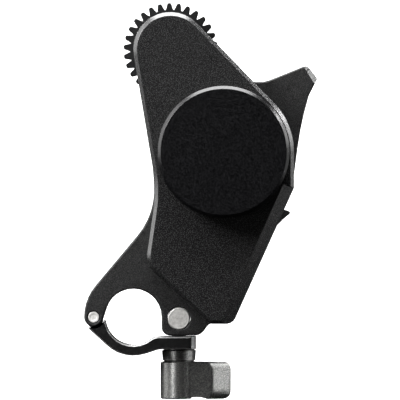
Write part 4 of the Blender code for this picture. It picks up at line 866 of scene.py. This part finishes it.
WASHER_BORE = 2.2 * MM
WASHER_PLAY = 0.03 * MM
COLLAR_WASHER_TOP = 0.27 * MM     # above the collar
collar_low, collar_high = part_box("clamp_collar")
washer("collar_washer", collar_high[2] + WASHER_PLAY, collar_high[2] + COLLAR_WASHER_TOP,
       4.2 * MM, "collar")
washer("lever_washer", lever_high[2] + WASHER_PLAY, collar_low[2] - WASHER_PLAY,
       4.1 * MM, "lever")

# %% [markdown]
# ## Screw heads on the back
#
# Four flat screws hold the cover and a domed one holds the gear. One cover screw is modelled,
# with a hexagonal socket and a rounded rim, and then copied to the four places.

# %% Socket and shank
SHANK_RADIUS = 0.9 * MM


def sunk_socket(piece, centre, radius, floor, top):
    """Cuts a hexagonal socket along Y into a head."""
    ready()
    bpy.ops.mesh.primitive_cylinder_add(
        vertices=6, radius=radius, depth=top - floor,
        location=(centre.x, (floor + top) / 2, centre.z), rotation=(math.pi / 2, 0, 0))
    carve(piece, fresh(piece.name + "_hexagon"))


def turned_shank(piece, centre, radius, front, shoulder, back):
    """Turns a blank down to its shank, from the front to the shoulder under its head."""
    room = drum("shank_room", centre, radius + MM, front - MM, shoulder)
    carve(piece, carve(room, drum("shank_keep", centre, SHANK_RADIUS, front - 2 * MM, back)))


print("shanks are", round(2 * SHANK_RADIUS / MM, 1), "mm thick")

# %% Cover screws
COVER_SCREWS = [f"back_cover_screw_{number}" for number in (1, 2, 3, 4)]
COVER_HEAD = 0.55 * MM            # its thickness
COVER_SOCKET, COVER_SOCKET_DEPTH = 0.85 * MM, 0.45 * MM
first_low, first_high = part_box(COVER_SCREWS[0])
first_centre = (first_low + first_high) / 2
head_radius = (first_high[0] - first_low[0]) / 2
front, back = first_low[1], first_high[1]
cover_screw = drum("screw_model", first_centre, head_radius, front, back, 64)
edit(cover_screw)
pick("FACE", facing((0, -1, 0)))
bpy.ops.mesh.inset(thickness=head_radius - SHANK_RADIUS)
ready()
turned_shank(cover_screw, first_centre, head_radius, front, back - COVER_HEAD, back)
sunk_socket(cover_screw, first_centre, COVER_SOCKET, back - COVER_SOCKET_DEPTH, back + MM)
soften(cover_screw, 0.05 * MM, 2, 25)
for node_name in COVER_SCREWS:
    low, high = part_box(node_name)
    only(cover_screw)
    bpy.ops.object.duplicate()
    copied = bpy.context.object
    copied.name = copied.data.name = node_name.replace("back_cover", "cover")
    bpy.ops.transform.translate(value=(low + high) / 2 - first_centre)
    bpy.ops.object.transform_apply(location=True)
    dress(copied, blackened_steel, "housing", "dark_steel", node_name)
bpy.data.objects.remove(cover_screw)

# %% Gear screw
BUTTON_HEAD = 2.0 * MM            # its thickness
BUTTON_DOME = 1.5 * MM
BUTTON_SOCKET, BUTTON_SOCKET_DEPTH = 1.25 * MM, 1.2 * MM
low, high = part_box("gear_screw")
middle = (low + high) / 2
head_radius = (high[0] - low[0]) / 2
front, back = low[1], high[1]
button = drum("gear_button_screw", middle, head_radius, front, back)
edit(button)
pick("EDGE", lambda edge: all(vert.co.y > back - MM / 10 for vert in edge.verts))
bpy.ops.mesh.bevel(offset=BUTTON_DOME, segments=8, profile=0.5)
ready()
sunk_socket(button, middle, BUTTON_SOCKET, back - BUTTON_SOCKET_DEPTH, back + MM)
turned_shank(button, middle, head_radius, front, back - BUTTON_HEAD, back)
soften(button, 0.05 * MM, 2, 30)
dress(button, blackened_steel, "drive", "dark_steel", "gear_screw")

# %% [markdown]
# ## Floor, backdrop and light
#
# The photograph is a cut-out on white, lit from above by a large soft box, so each upper
# chamfer is a white line and each lower one is dark. The floor and backdrop are one pale sweep.

# %% Sweep
HALF_WIDTH = 2.2
SWEEP = (  # depth and height along the sweep, in metres
    (-1.6, -0.20), (0.50, -0.20), (0.62, -0.19), (0.72, -0.15), (0.79, -0.08), (0.82, 0.02),
    (0.83, 1.60),
)
ready()
bpy.ops.mesh.primitive_plane_add(size=1)
sweep = fresh("pale_sweep")
shape = bmesh.from_edit_mesh(sweep.data)
bmesh.ops.delete(shape, geom=shape.verts[:], context="VERTS")
rows = [[shape.verts.new((side, depth, height)) for side in (-HALF_WIDTH, HALF_WIDTH)]
        for depth, height in SWEEP]
for first, second in zip(rows, rows[1:]):
    shape.faces.new((first[0], first[1], second[1], second[0]))   # looks towards the unit
bmesh.update_edit_mesh(sweep.data)
ready()
only(sweep)
bpy.ops.object.shade_smooth()
paper = bpy.data.materials.new("pale_paper")
paper.use_nodes = True
paper_shader = paper.node_tree.nodes["Principled BSDF"]
paper_shader.inputs["Base Color"].default_value = (0.86, 0.86, 0.86, 1)
paper_shader.inputs["Roughness"].default_value = 0.95
paper_shader.inputs["Emission Color"].default_value = (1, 1, 1, 1)
paper_shader.inputs["Emission Strength"].default_value = 0.75
paper_tree = paper.node_tree
side_seen = node(paper_tree, "NewGeometry")
clear = node(paper_tree, "BsdfTransparent")
one_sided = node(paper_tree, "MixShader")
paper_tree.links.new(side_seen.outputs["Backfacing"], one_sided.inputs["Fac"])
paper_tree.links.new(paper_shader.outputs["BSDF"], one_sided.inputs[1])
paper_tree.links.new(clear.outputs["BSDF"], one_sided.inputs[2])
paper_tree.links.new(one_sided.outputs["Shader"],
                     paper_tree.nodes["Material Output"].inputs["Surface"])
sweep.data.materials.append(paper)
sweep.visible_glossy = False
sweep.visible_diffuse = False
print("the sweep has", len(SWEEP) - 1, "strips")

# %% Lights
def soft_box(name, place, target, size, power, spread=180):
    """A rectangular area light that looks at a point, with a grid that narrows its beam."""
    data = bpy.data.lights.new(name, "AREA")
    data.shape = "RECTANGLE"
    data.size, data.size_y = size
    data.energy = power
    data.spread = math.radians(spread)
    light = bpy.data.objects.new(name, data)
    light.location = place
    light.rotation_euler = (Vector(target) - Vector(place)).to_track_quat("-Z", "Y").to_euler()
    light.visible_camera = False
    bpy.context.scene.collection.objects.link(light)


lever_middle = (knee.x, 0, knee.z)
horn_corner = (0.048, -0.008, 0.066)
cap_top = (0.018, -0.012, 0.045)
soft_box("overhead", (0.00, -0.01, 0.62), PICTURE_MIDDLE, (0.9, 0.60), 20.0)
soft_box("left_panel", (-0.62, -0.02, 0.32), PICTURE_MIDDLE, (0.40, 0.7), 2.9)
soft_box("right_panel", (0.66, -0.02, 0.30), PICTURE_MIDDLE, (0.40, 0.40), 2.4)
soft_box("right_low_panel", (0.58, -0.02, -0.06), PICTURE_MIDDLE, (0.30, 0.22), 0.20)
soft_box("horn_strip", (0.47, -0.02, 0.334), horn_corner, (0.08, 0.08), 0.0042, 12)
soft_box("tip_strip", (0.49, -0.23, -0.017), lever_middle, (0.06, 0.06), 0.0008, 9)
soft_box("hub_strip", (-0.27, -0.37, -0.017), lever_middle, (0.16, 0.06), 0.0050, 22)
soft_box("rear_fill", (-0.20, 0.62, 0.40), PICTURE_MIDDLE, (0.5, 0.5), 8.0)
soft_box("key", (-0.195, -0.19, 0.190), cap_top, (0.12, 0.12), 1.42)

world = bpy.data.worlds.new("studio")
bpy.context.scene.world = world
world.use_nodes = True
sky = world.node_tree
ray = node(sky, "LightPath")
air = node(sky, "Mix", data_type="RGBA")
air.inputs["A"].default_value = (0.01, 0.01, 0.01, 1)
air.inputs["B"].default_value = (1, 1, 1, 1)
sky.links.new(ray.outputs["Is Camera Ray"], air.inputs["Factor"])
sky.links.new(air.outputs["Result"], sky.nodes["Background"].inputs["Color"])
bpy.context.scene.view_settings.view_transform = "Standard"
print("lights:", len(bpy.data.lights))
